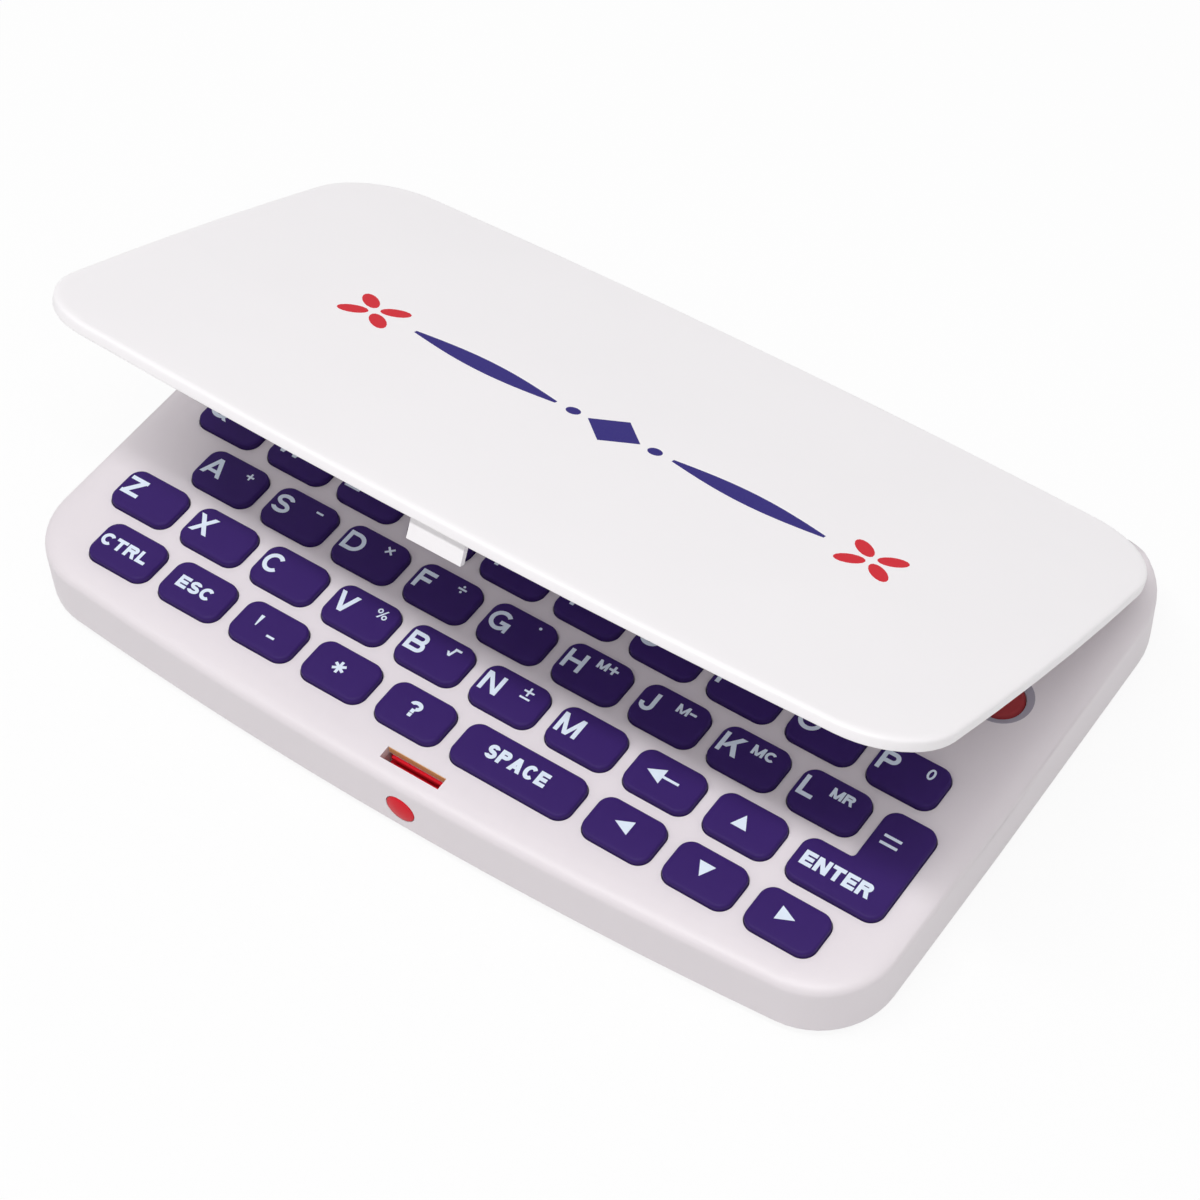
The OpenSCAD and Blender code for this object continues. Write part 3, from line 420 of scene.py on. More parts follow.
# Each sign's width for a height of 1, and its strokes for a width w and a stroke width s
SIGNS = {
    "A": (1.0, lambda w, s: [
        leg(0, 0, w / 2 - 0.55 * s, 1, 1.1 * s), leg(w - 1.1 * s, 0, w / 2 - 0.55 * s, 1, 1.1 * s),
        bar(w * 0.2, 0.2, w * 0.8, 0.2 + 0.85 * s)]),
    "B": (0.9, lambda w, s: [
        bar(0, 0, s, 1), *bowl(0, 0, w, 0.5 + 0.45 * s, s), *bowl(0, 0.5 - 0.45 * s, 0.94 * w, 1, s)]),
    "C": (0.93, lambda w, s: [bow(0, -0.01, w, 1.01, s, 42, 318)]),
    "D": (0.95, lambda w, s: [bar(0, 0, s, 1), *bowl(0, 0, w, 1, s)]),
    "E": (0.82, lambda w, s: [
        bar(0, 0, s, 1), bar(0, 0, w, s), bar(0, 0.5 - s / 2, 0.93 * w, 0.5 + s / 2), bar(0, 1 - s, w, 1)]),
    "F": (0.78, lambda w, s: [bar(0, 0, s, 1), bar(0, 0.42, 0.9 * w, 0.42 + s), bar(0, 1 - s, w, 1)]),
    "G": (0.98, lambda w, s: [
        bow(0, -0.01, w, 1.01, s, 42, 335), bar(0.54 * w, 0.52 - 0.95 * s, w, 0.52),
        bar(w - 0.75 * s, 0, w, 0.5)]),
    "H": (0.9, lambda w, s: [bar(0, 0, s, 1), bar(w - s, 0, w, 1), bar(0, 0.5 - s / 2, w, 0.5 + s / 2)]),
    "I": (0.2, lambda w, s: [bar(w / 2 - s / 2, 0, w / 2 + s / 2, 1)]),
    "J": (0.65, lambda w, s: [
        bar(w - s, 0.3, w, 1), bow(0, -0.01, w, 0.61, s, 180, 360), bar(0, 0.29, s, 0.37)]),
    "K": (0.96, lambda w, s: [
        bar(0, 0, s, 1), leg(0.5 * s, 0.3, w - 1.35 * s, 1, 1.35 * s),
        leg(w - 1.3 * s, 0, 0.42 * w, 0.64, 1.25 * s)]),
    "L": (0.75, lambda w, s: [bar(0, 0, s, 1), bar(0, 0, w, s)]),
    "M": (1.05, lambda w, s: [
        bar(0, 0, s, 1), bar(w - s, 0, w, 1), leg(w / 2 - 0.5 * s, 0, 0, 1, s),
        leg(w / 2 - 0.5 * s, 0, w - s, 1, s)]),
    "N": (0.9, lambda w, s: [bar(0, 0, s, 1), bar(w - s, 0, w, 1), leg(w - 1.15 * s, 0, 0, 1, 1.15 * s)]),
    "O": (1.0, lambda w, s: loop(0, -0.01, w, 1.01, s)),
    "P": (0.85, lambda w, s: [bar(0, 0, s, 1), *bowl(0, 0.4, w, 1, s)]),
    "Q": (1.0, lambda w, s: [*loop(0, -0.01, w, 1.01, s), leg(w - 1.1 * s, -0.04, w * 0.5, 0.28, 1.1 * s)]),
    "R": (0.92, lambda w, s: [
        bar(0, 0, s, 1), *bowl(0, 0.42, 0.96 * w, 1, s), leg(w - 1.1 * s, 0, 0.45 * w, 0.5, 1.1 * s)]),
    "S": (0.85, lambda w, s: [
        bow(0.03 * w, 0.5 - s / 2, 0.97 * w, 1.01, s, 18, 270),
        bow(0, -0.01, w, 0.5 + s / 2, s, -162, 90)]),
    "T": (0.85, lambda w, s: [bar(0, 1 - s, w, 1), bar(w / 2 - s / 2, 0, w / 2 + s / 2, 1)]),
    "U": (0.88, lambda w, s: [
        bar(0, 0.35, s, 1), bar(w - s, 0.35, w, 1), bow(0, -0.01, w, 0.71, s, 180, 360)]),
    "V": (0.95, lambda w, s: [
        leg(w / 2 - 0.55 * s, 0, 0, 1, 1.1 * s), leg(w / 2 - 0.55 * s, 0, w - 1.1 * s, 1, 1.1 * s)]),
    "W": (1.35, lambda w, s: [
        leg(x - 0.5 * s, 0, top, 1, s)
        for x, top in (
            (0.27 * w, 0), (0.27 * w, w / 2 - 0.5 * s), (0.73 * w, w / 2 - 0.5 * s), (0.73 * w, w - s))]),
    "X": (0.95, lambda w, s: [leg(0, 0, w - 1.25 * s, 1, 1.25 * s), leg(w - 1.25 * s, 0, 0, 1, 1.25 * s)]),
    "Y": (0.95, lambda w, s: [
        bar(w / 2 - s / 2, 0, w / 2 + s / 2, 0.45), leg(w / 2 - 0.55 * s, 0.4, 0, 1, 1.15 * s),
        leg(w / 2 - 0.6 * s, 0.4, w - 1.15 * s, 1, 1.15 * s)]),
    "Z": (0.88, lambda w, s: [
        bar(0, 0, w, s), bar(0, 1 - s, w, 1), leg(0, 0.6 * s, w - 1.5 * s, 1 - 0.6 * s, 1.5 * s)]),
    "0": (0.62, lambda w, s: loop(0, -0.01, w, 1.01, s)),
    "1": (0.4, lambda w, s: [
        bar(w - s, 0, w, 1), [(0, 0.68), (w, 0.84), (w, 1), (w - 0.8 * s, 1), (0, 0.68 + s)]]),
    "2": (0.6, lambda w, s: [
        bow(0, 0.4, w, 1.01, s, -30, 170), leg(0, 0.6 * s, w - 1.5 * s, 0.62, 1.4 * s), bar(0, 0, w, s)]),
    "3": (0.6, lambda w, s: [
        bow(0.04 * w, 0.5 - s / 2, 0.95 * w, 1.01, s, -90, 160),
        bow(0, -0.01, w, 0.5 + s / 2, s, -160, 90)]),
    "4": (0.65, lambda w, s: [
        bar(0.6 * w, 0, 0.6 * w + s, 1), bar(0, 0.22, w, 0.22 + s),
        leg(0, 0.3, 0.6 * w - 0.3 * s, 1, 1.3 * s)]),
    "5": (0.6, lambda w, s: [
        bar(0.1 * w, 1 - s, 0.94 * w, 1), bar(0.1 * w, 0.47, 0.1 * w + s, 1),
        bow(0, -0.01, w, 0.64, s, -160, 145)]),
    "6": (0.6, lambda w, s: [*loop(0, -0.01, w, 0.62, s), bow(0, -0.01, w, 1.01, s, 50, 200)]),
    "7": (0.58, lambda w, s: [bar(0, 1 - s, w, 1), leg(0.2 * w, 0, w - 1.2 * s, 1 - 0.4 * s, 1.2 * s)]),
    "8": (0.6, lambda w, s: [
        *loop(0.05 * w, 0.5 - s / 2, 0.95 * w, 1.01, s), *loop(0, -0.01, w, 0.5 + s / 2, s)]),
    "9": (0.6, lambda w, s: [*loop(0, 0.38, w, 1.01, s), bow(0, -0.01, w, 1.01, s, -130, 20)]),
    "+": (1.0, lambda w, s: [bar(0, 0.5 - s / 2, 1, 0.5 + s / 2), bar(0.5 - s / 2, 0, 0.5 + s / 2, 1)]),
    "-": (0.6, lambda w, s: [bar(0, 0.5 - s / 2, w, 0.5 + s / 2)]),
    "×": (1.0, lambda w, s: [spoke(45, s), spoke(135, s)]),
    "÷": (1.0, lambda w, s: [
        bar(0, 0.5 - s / 2, 1, 0.5 + s / 2), dot(0.5, 0.12, 0.65 * s), dot(0.5, 0.88, 0.65 * s)]),
    "·": (1.0, lambda w, s: [dot(0.5, 0.5, 0.5)]),
    "%": (1.2, lambda w, s: [
        *loop(0, 0.48, 0.42 * w, 1, 0.8 * s), *loop(0.58 * w, 0, w, 0.52, 0.8 * s),
        leg(0.2 * w, 0, 0.7 * w, 1, s)]),
    "√": (1.1, lambda w, s: [
        leg(0.2 * w, 0, 0, 0.45, s), leg(0.2 * w, 0, 0.42 * w, 1 - s, s), bar(0.42 * w, 1 - s, w, 1)]),
    "±": (0.8, lambda w, s: [
        bar(w / 2 - s / 2, 0.28, w / 2 + s / 2, 1), bar(0, 0.64 - s / 2, w, 0.64 + s / 2),
        bar(0, 0, w, s)]),
    "=": (1.6, lambda w, s: [bar(0, 0, w, s), bar(0, 1 - s, w, 1)]),
    "?": (0.75, lambda w, s: [
        bow(0, 0.4, w, 1.01, s, -75, 172), bar(w / 2 - s / 2, 0.26, w / 2 + s / 2, 0.5),
        bar(w / 2 - s / 2, 0, w / 2 + s / 2, s)]),
    "*": (1.0, lambda w, s: [spoke(30, s), spoke(90, s), spoke(150, s)]),
    "'": (0.35, lambda w, s: [[(0.35 * w, 0), (0.65 * w, 0), (w, 1), (0, 1)]]),
    "▲": (1.0, lambda w, s: [[(0, 0), (w, 0), (w / 2, 1)]]),
    "▼": (1.0, lambda w, s: [[(0, 1), (w / 2, 0), (w, 1)]]),
    "◄": (1.0, lambda w, s: [[(0, 0.5), (w, 0), (w, 1)]]),
    "►": (1.0, lambda w, s: [[(0, 0), (w, 0.5), (0, 1)]]),
    "←": (2.0, lambda w, s: [[(0, 0.5), (1, 0), (1, 1)], bar(0.9, 0.5 - s / 2, w, 0.5 + s / 2)]),
}

# Width, stroke and place in mm of the large letters: the left side and middle height from the key's middle
LETTER_WIDTH = {
    "q": 3.0, "w": 3.9, "e": 2.2, "r": 2.6, "t": 2.4, "y": 2.7, "u": 2.5, "i": 0.6, "o": 3.0, "p": 2.2,
    "a": 2.9, "s": 2.4, "d": 2.7, "f": 2.1, "g": 2.8, "h": 2.5, "j": 1.8, "k": 2.7, "l": 2.0,
    "z": 2.5, "x": 2.7, "c": 2.6, "v": 2.7, "b": 2.5, "n": 2.5, "m": 2.9,
}
LETTER_STROKE = 0.54
LETTER_LEFT = -3.85
LETTER_Y = 0.27
# Other legends of a key: text, middle x and y, height, width and stroke in mm from the key's middle
LEGENDS = {
    **{key: (digit, 1.2, 1.28, 1.5, 0.9, 0.24) for key, digit in zip("wetyuio", "2356789")},
    "q": ("1", 1.2, 1.28, 1.5, 0.5, 0.24), "r": ("4", 1.2, 1.28, 1.5, 1.0, 0.24),
    "p": ("0", 2.1, 1.3, 1.5, 0.95, 0.27), "a": ("+", 2.1, 1.3, 1.05, 1.05, 0.25),
    "s": ("-", 2.0, 1.4, 1.0, 1.0, 0.27), "d": ("×", 1.83, 1.45, 1.3, 1.3, 0.26),
    "f": ("÷", 1.76, 1.5, 1.15, 1.15, 0.25), "g": ("·", 2.1, 1.8, 0.4, 0.4, 0.2),
    "h": ("M+", 1.23, 1.5, 1.25, 2.8, 0.31), "j": ("M-", 1.5, 1.3, 1.25, 2.5, 0.31),
    "k": ("MC", 1.28, 1.2, 1.35, 3.0, 0.34), "l": ("MR", 1.05, 1.1, 1.35, 2.9, 0.34),
    "v": ("%", 2.2, 1.2, 1.35, 1.6, 0.22), "b": ("√", 1.8, 1.27, 1.35, 1.6, 0.3),
    "n": ("±", 1.7, 1.25, 1.75, 1.35, 0.25),
    "ctrl": ("CTRL", -0.5, 0.07, 1.75, 6.8, 0.45), "esc": ("ESC", -0.3, 0.0, 1.75, 5.0, 0.45),
    "space": ("SPACE", -0.35, 0.3, 1.95, 8.2, 0.5), "enter": ("ENTER", -0.67, 0.0, 1.95, 8.75, 0.5),
    "question": ("?", -0.33, 0.15, 2.25, 1.7, 0.5), "asterisk": ("*", -0.4, 0.15, 1.7, 1.7, 0.36),
    "apostrophe": ("'", -1.7, 0.45, 1.6, 0.5, 0.3), "delete": ("←", -0.4, 0.2, 2.1, 4.2, 0.33),
    "up": ("▲", -0.43, 0.1, 1.85, 2.0, 0.3), "left": ("◄", -0.4, 0.3, 1.95, 2.1, 0.3),
    "down": ("▼", -0.4, 0.25, 1.9, 2.05, 0.3), "right": ("►", -0.3, 0.25, 1.95, 2.1, 0.3),
}
# The second legend of the keys that carry two
EXTRA = {"apostrophe": ("-", 0.9, -0.85, 1.0, 1.1, 0.3), "enter": ("=", 1.96, 6.75, 1.4, 2.2, 0.36)}


def lettering(text, x, y, height, width, stroke):
    """Outlines in mm of a text of a given size about its middle."""
    gap = 0.1
    natural = sum(SIGNS[sign][0] for sign in text)
    share = (width / height - gap * (len(text) - 1)) / natural
    shapes, pen = [], 0.0
    for sign in text:
        wide = SIGNS[sign][0] * share
        for strokes in SIGNS[sign][1](wide, stroke / height):
            shapes.append([
                (x - width / 2 + (pen + a) * height, y + (b - 0.5) * height) for a, b in strokes])
        pen += wide + gap
    return shapes


def rounded(x0, y0, x1, y1, r):
    """A rectangle with round corners."""
    corners = [(x1 - r, y0 + r, -90), (x1 - r, y1 - r, 0), (x0 + r, y1 - r, 90), (x0 + r, y0 + r, 180)]
    return [(x + r * math.cos(turn), y + r * math.sin(turn))
            for x, y, start in corners for turn in (math.radians(start + 15 * k) for k in range(7))]


def plate(shapes):
    """A closed plate one unit thick that covers all the outlines, which turn left and may overlap."""
    faces, points = [], []
    for shape in shapes:
        faces.append(list(range(len(points), len(points) + len(shape))))
        points += [Vector(p) for p in shape]
    spots, _, cells, _, _, owners = delaunay_2d_cdt(points, [], faces, 0, 1e-5, True)
    kept = [list(cell) for cell, owner in zip(cells, owners) if owner]
    number = len(spots)
    edges = {(cell[i - 1], cell[i]) for cell in kept for i in range(len(cell))}
    walls = [(a, b, b + number, a + number) for a, b in edges if (b, a) not in edges]
    floor = [tuple(reversed(cell)) for cell in kept]
    roof = [tuple(i + number for i in cell) for cell in kept]
    mesh = bpy.data.meshes.new("plate")
    mesh.from_pydata([(p.x, p.y, z) for z in (0, 1) for p in spots], [], sorted(walls) + floor + roof)
    return mesh


def legend_shapes(key, height):
    """All outlines of a key's legend about the key's middle."""
    shapes = []
    if key in LETTER_WIDTH:
        wide = LETTER_WIDTH[key]
        shapes += lettering(key.upper(), LETTER_LEFT + wide / 2, LETTER_Y, height / MM, wide, LETTER_STROKE)
    for table in (LEGENDS, EXTRA):
        if key in table:
            shapes += lettering(*table[key])
    return shapes


def print_legend(key, middle, look, ink):
    """Prints a key's legend on its top, sunk a fifth of its thickness into the rubber."""
    mesh = plate(legend_shapes(key, look.letter_height))
    mesh.transform(Matrix.Diagonal((MM, MM, look.print_thickness, 1)))
    mesh.transform(Matrix.Translation((middle.x, middle.y, KEY_TOP - look.print_thickness * 0.2)))
    place_piece("legend_" + key, mesh, "key_" + key, ink)


class DICT_OT_casing(bpy.types.Operator):
    """Dress the casing, its battery cover, feet and screws"""

    bl_idname = "dictionary.casing"
    bl_label = "Casing"

    def execute(self, context):
        look = context.scene.dictionary_casing
        # Moulded ABS with a fine spark-eroded grain: a soft sheen that breaks up reflections
        shell = surface("moulded ABS, white satin", look.colour, 0.42, 0.35, 0.012)
        for name, source, body in (("deck_and_walls", "upper_case", "casing"),
                                   ("bottom_and_bay", "lower_case", "casing"),
                                   ("battery_door", "battery_cover", "battery_cover")):
            place_piece(name, smooth_copy(source), body, shell, [source])
        # Black rubber: a matt skin without a reflection
        rubber = surface("moulded rubber, black", linear("#2A2A2C"), 0.75, 0.3, 0.02)
        dress("rubber_feet", rubber)
        # Zinc-plated steel: a dull grey metal
        zinc = surface("zinc-plated steel", linear("#A9ABAD"), 0.35, 0.2, 0.004, metal=1.0)
        dress("case_screws", zinc)
        dress("hinge_pins", zinc)
        return {"FINISHED"}


class DICT_OT_lid(bpy.types.Operator):
    """Dress the lid and print its ornament"""

    bl_idname = "dictionary.lid"
    bl_label = "Lid"

    def execute(self, context):
        look = context.scene.dictionary_casing
        # The same moulded ABS, polished a little smoother than the casing; its colour is written lighter
        # than the casing's, partly its own whiter tone and partly painted light for the brighter light on
        # the lid's top
        cover = surface("moulded ABS, white lid with painted light", look.lid_colour_and_light, 0.36, 0.35, 0.008)
        place_piece("lid_cover", smooth_copy("lid"), "lid", cover, ["lid"])
        # Pad-printed inks: thin, even and slightly matt
        blue = surface(
            "pad-printed ink, indigo", look.ornament_colour, 0.5, 0.3, 0.004, Specular_IOR_Level=0.2)
        red = surface("pad-printed ink, red", look.accent_colour, 0.5, 0.3, 0.004, Specular_IOR_Level=0.2)
        half = look.ornament_length / 2 / MM
        opened = Matrix.Translation(HINGE) @ Matrix.Rotation(-LID_OPEN, 4, "X") @ Matrix.Translation(-HINGE)
        # Drawn in mm on the shut lid, a little into its top, and then opened with it
        thickness, sunk = 0.02 * MM, 0.004 * MM
        middle = Vector((1.5 * MM, -4 * MM, SHUT_LID_TOP - sunk))
        onto = Matrix.Translation(middle) @ Matrix.Diagonal((MM, MM, thickness, 1))
        for name, shapes, ink in (("lid_rule", self.rule(half), blue),
                                  ("lid_flowers", self.flowers(half), red)):
            mesh = plate(shapes)
            mesh.transform(opened @ onto)
            place_piece(name, mesh, "lid", ink)
        return {"FINISHED"}

    def rule(self, half):
        """Outlines of a lozenge with a dot and a swelled rule on either side, to half the length in mm."""
        reach, dot_x, dot_r = 3.6, 5.6, 0.9
        start, swell, tip, steps = 8, 1.5, 0.15, 20
        shapes = [[(-reach, 0), (0, -reach), (reach, 0), (0, reach)]]
        for side in (1, -1):
            shapes.append(dot(side * dot_x, 0, dot_r))
            upper = [(side * (start + (half - start) * i / steps),
                      swell * math.sin(math.pi * (i + 0.5) / (steps + 1)) + tip) for i in range(steps + 1)]
            shapes.append((upper + [(x, -y) for x, y in reversed(upper)])[::-side])
        return shapes

    def flowers(self, half):
        """Outlines of two flowers of four petals, beyond the ends of the rule."""
        away, heart, length, width = 6, 0.7, 3.8, 2.1
        turns = [i * math.pi / 8 for i in range(16)]
        petal = [(heart + length / 2 * (1 - math.cos(t)), -width / 2 * math.sin(t)) for t in turns]
        shapes = []
        for x in (-half - away, half + away):
            for turn in (math.pi * (0.25 + 0.5 * i) for i in range(4)):
                c, d = math.cos(turn), math.sin(turn)
                shapes.append([(x + a * c - b * d, a * d + b * c) for a, b in petal])
        return shapes


class DICT_OT_keys(bpy.types.Operator):
    """Make the rubber keys and their legends"""

    bl_idname = "dictionary.keys"
    bl_label = "Keys"

    def execute(self, context):
        look = context.scene.dictionary_keys
        # Silicone rubber: a deep even violet with a soft, slightly waxy sheen
        rubber = surface("silicone rubber, violet", look.colour, 0.55, 0.25, 0.01,
                         cloud_mm=4, cloud=0.08, Specular_IOR_Level=0.22)
        # Screen-printed ink: pale, opaque and matt
        ink = surface("screen-printed ink, pale blue", look.ink, 0.6, 0.2, 0.004, cloud_mm=1.5, cloud=0.1)
        tree = key_tree()
        for name in frame["nodes"]:
            if not name.startswith("key_"):
                continue
            key = name.removeprefix("key_")
            low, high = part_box(name)
            middle = (low + high) / 2
            if key == "enter":
                self.enter(low, high, look, rubber, ink)
                continue
            width = high.x - low.x - 2 * FLANGE_OUT
            mesh = evaluated(tree, {
                "Width": width, "Depth": high.y - low.y - 2 * FLANGE_OUT,
                "Corner": look.corner, "Edge": look.edge,
                "Top": KEY_TOP, "Flange Top": FLANGE_TOP, "Flange": FLANGE_OUT,
                "Foot Width": width - 2 * FOOT_SIDE, "Material": rubber}, "cap_" + key)
            mesh.transform(Matrix.Translation((middle.x, middle.y, 0)))
            shade(mesh)
            place_piece("cap_" + key, mesh, name, rubber, [name])
            print_legend(key, middle, look, ink)
        return {"FINISHED"}

    def enter(self, low, high, look, rubber, ink):
        """The L-shaped key, lofted through rounded outlines."""
        tall_width, hollow_radius, foot_width = 6.55 * MM, 0.5 * MM, 6.6 * MM
        left, right = low.x + FLANGE_OUT, high.x - FLANGE_OUT
        front, back = low.y + FLANGE_OUT, high.y - FLANGE_OUT
        inner_x, inner_y = right - tall_width, front + KEY_DEPTH
        middle = Vector(((left + right) / 2, (front + inner_y) / 2, 0))
        # Each corner, which way its centre lies and where its arc starts; the fifth is the hollow one
        corners = [
            ((left, front), (1, 1), 180), ((right, front), (-1, 1), 270), ((right, back), (-1, -1), 0),
            ((inner_x, back), (1, -1), 90), ((inner_x, inner_y), (-1, 1), 0),
            ((left, inner_y), (1, -1), 90)]

        def ring(inset, z):
            points = []
            for i, ((x, y), (to_x, to_y), start) in enumerate(corners):
                hollow = i == 4
                radius = hollow_radius if hollow else look.corner
                centre_x, centre_y = x + to_x * radius, y + to_y * radius
                reach, step = (radius + inset, -9) if hollow else (radius - inset, 9)
                for k in range(11):
                    turn = math.radians(start + step * k)
                    points.append((centre_x + reach * math.cos(turn), centre_y + reach * math.sin(turn), z))
            return points

        edge = look.edge
        turns = [math.radians(a) for a in range(0, 91, 10)]
        cap = loft([ring(0, FLANGE_TOP)] + [
            ring(edge * (1 - math.cos(t)), KEY_TOP - edge * (1 - math.sin(t))) for t in turns])
        flange = loft([ring(-FLANGE_OUT, FLANGE_TOP - FLANGE_THICKNESS), ring(-FLANGE_OUT, FLANGE_TOP)])
        x, y = foot_width / 2, FOOT_DEPTH / 2
        foot = plate([rounded(-x / MM, -y / MM, x / MM, y / MM, FOOT_CORNER / MM)])
        foot_bottom = FLANGE_TOP - FLANGE_THICKNESS - FOOT_HEIGHT
        foot.transform(Matrix.Translation((middle.x, middle.y, foot_bottom))
                       @ Matrix.Diagonal((MM, MM, FOOT_HEIGHT, 1)))
        whole = joined((cap, flange, foot), "cap_enter")
        shade(whole)
        place_piece("cap_enter", whole, "key_enter", rubber, ["key_enter"])
        print_legend("enter", middle, look, ink)


class DICT_OT_buttons(bpy.types.Operator):
    """Dress the latch, its spring and the power button"""

    bl_idname = "dictionary.buttons"
    bl_label = "Latch and power button"

    def execute(self, context):
        # Pigmented red ABS: a strong even colour under a soft sheen
        red = surface("moulded ABS, red", linear("#D81C2C"), 0.45, 0.4, 0.006, Specular_IOR_Level=0.15)
        # The same moulding in a brownish red, duller from use
        dark_red = surface(
            "moulded ABS, dark red", linear("#9E3338"), 0.5, 0.4, 0.008, Specular_IOR_Level=0.2)
        for name, source, body, plastic in (("latch_and_release", "latch_slide", "latch", red),
                                            ("power_cap", "power_button", "power", dark_red)):
            place_piece(name, smooth_copy(source), body, plastic, [source])
        # Painted shade: a grey satin ring laid in the dish round the power button, darker than the casing,
        # stands in for the shade that falls in the dish
        grey = surface("painted shade in the power dish", linear("#A8A3B0"), 0.5, 0.35, 0.01)
        place_piece("power_dish_painted_shade", self.dish(), "casing", grey)
        # Painted glow: a tan strip along the slot's rear edge stands in for the warm light that the red
        # slide throws on the white wall; even and soft
        tan = surface("painted red glow, tan", linear("#E8AE74"), 0.5, 0.3, 0.01)
        place_piece("slot_wall_painted_glow", self.glow_strip(), "casing", tan)
        # Drawn spring wire: a bright smooth metal
        wire = surface("drawn spring steel", linear("#C9CACC"), 0.25, 0.1, 0.002, metal=1.0)
        low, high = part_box("latch_spring")
        spring = place_piece("latch_coil", self.coil(low, high), "casing", wire, ["latch_spring"])
        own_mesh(spring)
        return {"FINISHED"}

    def dish(self):
        """A thin ring of painted shade laid in the dish that the casing has round the power button."""
        low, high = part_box("power_button")
        middle = (low + high) / 2
        collar = 0.9 * MM
        button_radius = (high.x - low.x) / 2 - collar
        # The painted shade ring's section in mm: out from the button and up from the deck
        section = [(0.14, -0.5), (0.35, -0.5), (1.04, -0.01), (0.98, -0.01), (0.33, -0.46), (0.14, -0.46)]
        rings = []
        for out, up in (*section, section[0]):
            circle = dot(middle.x, middle.y, button_radius + out * MM, 64)
            rings.append([(x, y, DECK_Z + up * MM) for x, y in circle])
        return loft(rings, closed_ends=False)

    def glow_strip(self):
        """A tan strip of painted glow on the rear wall of the slot in the deck."""
        height, below_deck = 0.8 * MM, 0.9 * MM
        strip = plate([bar(-3.2, -35.91, 4.8, -35.85)])
        strip.transform(Matrix.Translation((0, 0, DECK_Z - below_deck))
                        @ Matrix.Diagonal((MM, MM, height, 1)))
        return strip

    def coil(self, low, high):
        """A wire wound round the box's long axis from end to end."""
        turns, steps, wire_radius, end_gap = 5, 120, 0.16 * MM, 0.01 * MM
        middle = (low + high) / 2
        radius = (high.z - low.z) / 2 - wire_radius
        length = high.y - low.y - 2 * (wire_radius + end_gap)
        rings = []
        for i in range(steps + 1):
            turn = 2 * math.pi * turns * i / steps
            out = Vector((math.cos(turn), 0, math.sin(turn)))
            centre = middle + out * radius + Vector((0, length * (i / steps - 0.5), 0))
            rings.append([
                centre + out * wire_radius * math.cos(a) + Vector((0, wire_radius * math.sin(a), 0))
                for a in (k * math.pi / 4 for k in range(8))])
        return loft(rings)


class DICT_OT_display(bpy.types.Operator):
    """Dress the display and its window"""

    bl_idname = "dictionary.display"
    bl_label = "Display"

    def execute(self, context):
        # Polished acrylic sheet: clear, with a sharp reflection
        window = surface(
            "polished acrylic", linear("#E8ECEA"), 0.06, 0.6, 0.0005, Transmission_Weight=1.0, IOR=1.49)
        dress("display_lens", window)
        # Liquid crystal cell between glass plates: grey-green, slightly glossy
        cell = surface("liquid crystal glass", linear("#A7AE98"), 0.2, 0.5, 0.002, cloud_mm=40, cloud=0.05)
        self.dots(cell.node_tree)
        dress("lcd_glass", cell)
        return {"FINISHED"}

    def dots(self, tree):
        """Faint squares of the unlit dot matrix."""
        # Such dots stand about 0.6 mm apart, with lines between them that take up a seventh of that
        spacing_mm, half_square, depth = 0.6, 0.43, 0.12
        shader = next(n for n in tree.nodes if n.type == "BSDF_PRINCIPLED")
        plain = shader.inputs["Base Color"].links[0].from_socket
        place = node(tree, "ShaderNodeTexCoord").outputs["Object"]
        cells = node(tree, "ShaderNodeTexVoronoi", {
            "Vector": place, "Scale": 1000 / spacing_mm, "Randomness": 0.0},
            voronoi_dimensions="2D", distance="CHEBYCHEV")
        inside = node(tree, "ShaderNodeMath", {
            0: cells.outputs["Distance"], 1: half_square}, operation="LESS_THAN")
        share = node(tree, "ShaderNodeMath", {0: inside.outputs[0], 1: depth}, operation="MULTIPLY")
        mixed = node(tree, "ShaderNodeMix", {
            0: share.outputs[0], 6: plain, 7: (0.1, 0.12, 0.09, 1)}, data_type="RGBA")
        tree.links.new(mixed.outputs[2], shader.inputs["Base Color"])


class DICT_OT_inside(bpy.types.Operator):
    """Dress the board, mat, cells and contacts inside"""

    bl_idname = "dictionary.inside"
    bl_label = "Inside"

    def execute(self, context):
        # Solder mask over copper: dark glossy green
        mask = surface("solder mask, green", linear("#1E5A34"), 0.3, 0.5, 0.01, cloud_mm=6, cloud=0.25)
        dress("main_pcb", mask)
        # Moulded epoxy of the chip and the switch: black with a soft gloss
        epoxy = surface("moulded epoxy, black", linear("#161618"), 0.4, 0.4, 0.02)
        dress("controller_chip", epoxy)
        dress("power_switch", epoxy)
        # Silicone sheet under the keys and a strip of conductive rubber: matt greys
        dress("keypad_mat", surface("silicone rubber, grey", linear("#8A8A92"), 0.6, 0.3, 0.02))
        dress("lcd_connector", surface("conductive rubber, black", linear("#202024"), 0.7, 0.2, 0.02))
        # Nickel-plated steel: bright with a warm tinge
        nickel = surface("nickel-plated steel", linear("#CFCBC3"), 0.2, 0.3, 0.002, metal=1.0)
        dress("coin_cells", nickel)
        dress("battery_contacts", nickel)
        return {"FINISHED"}


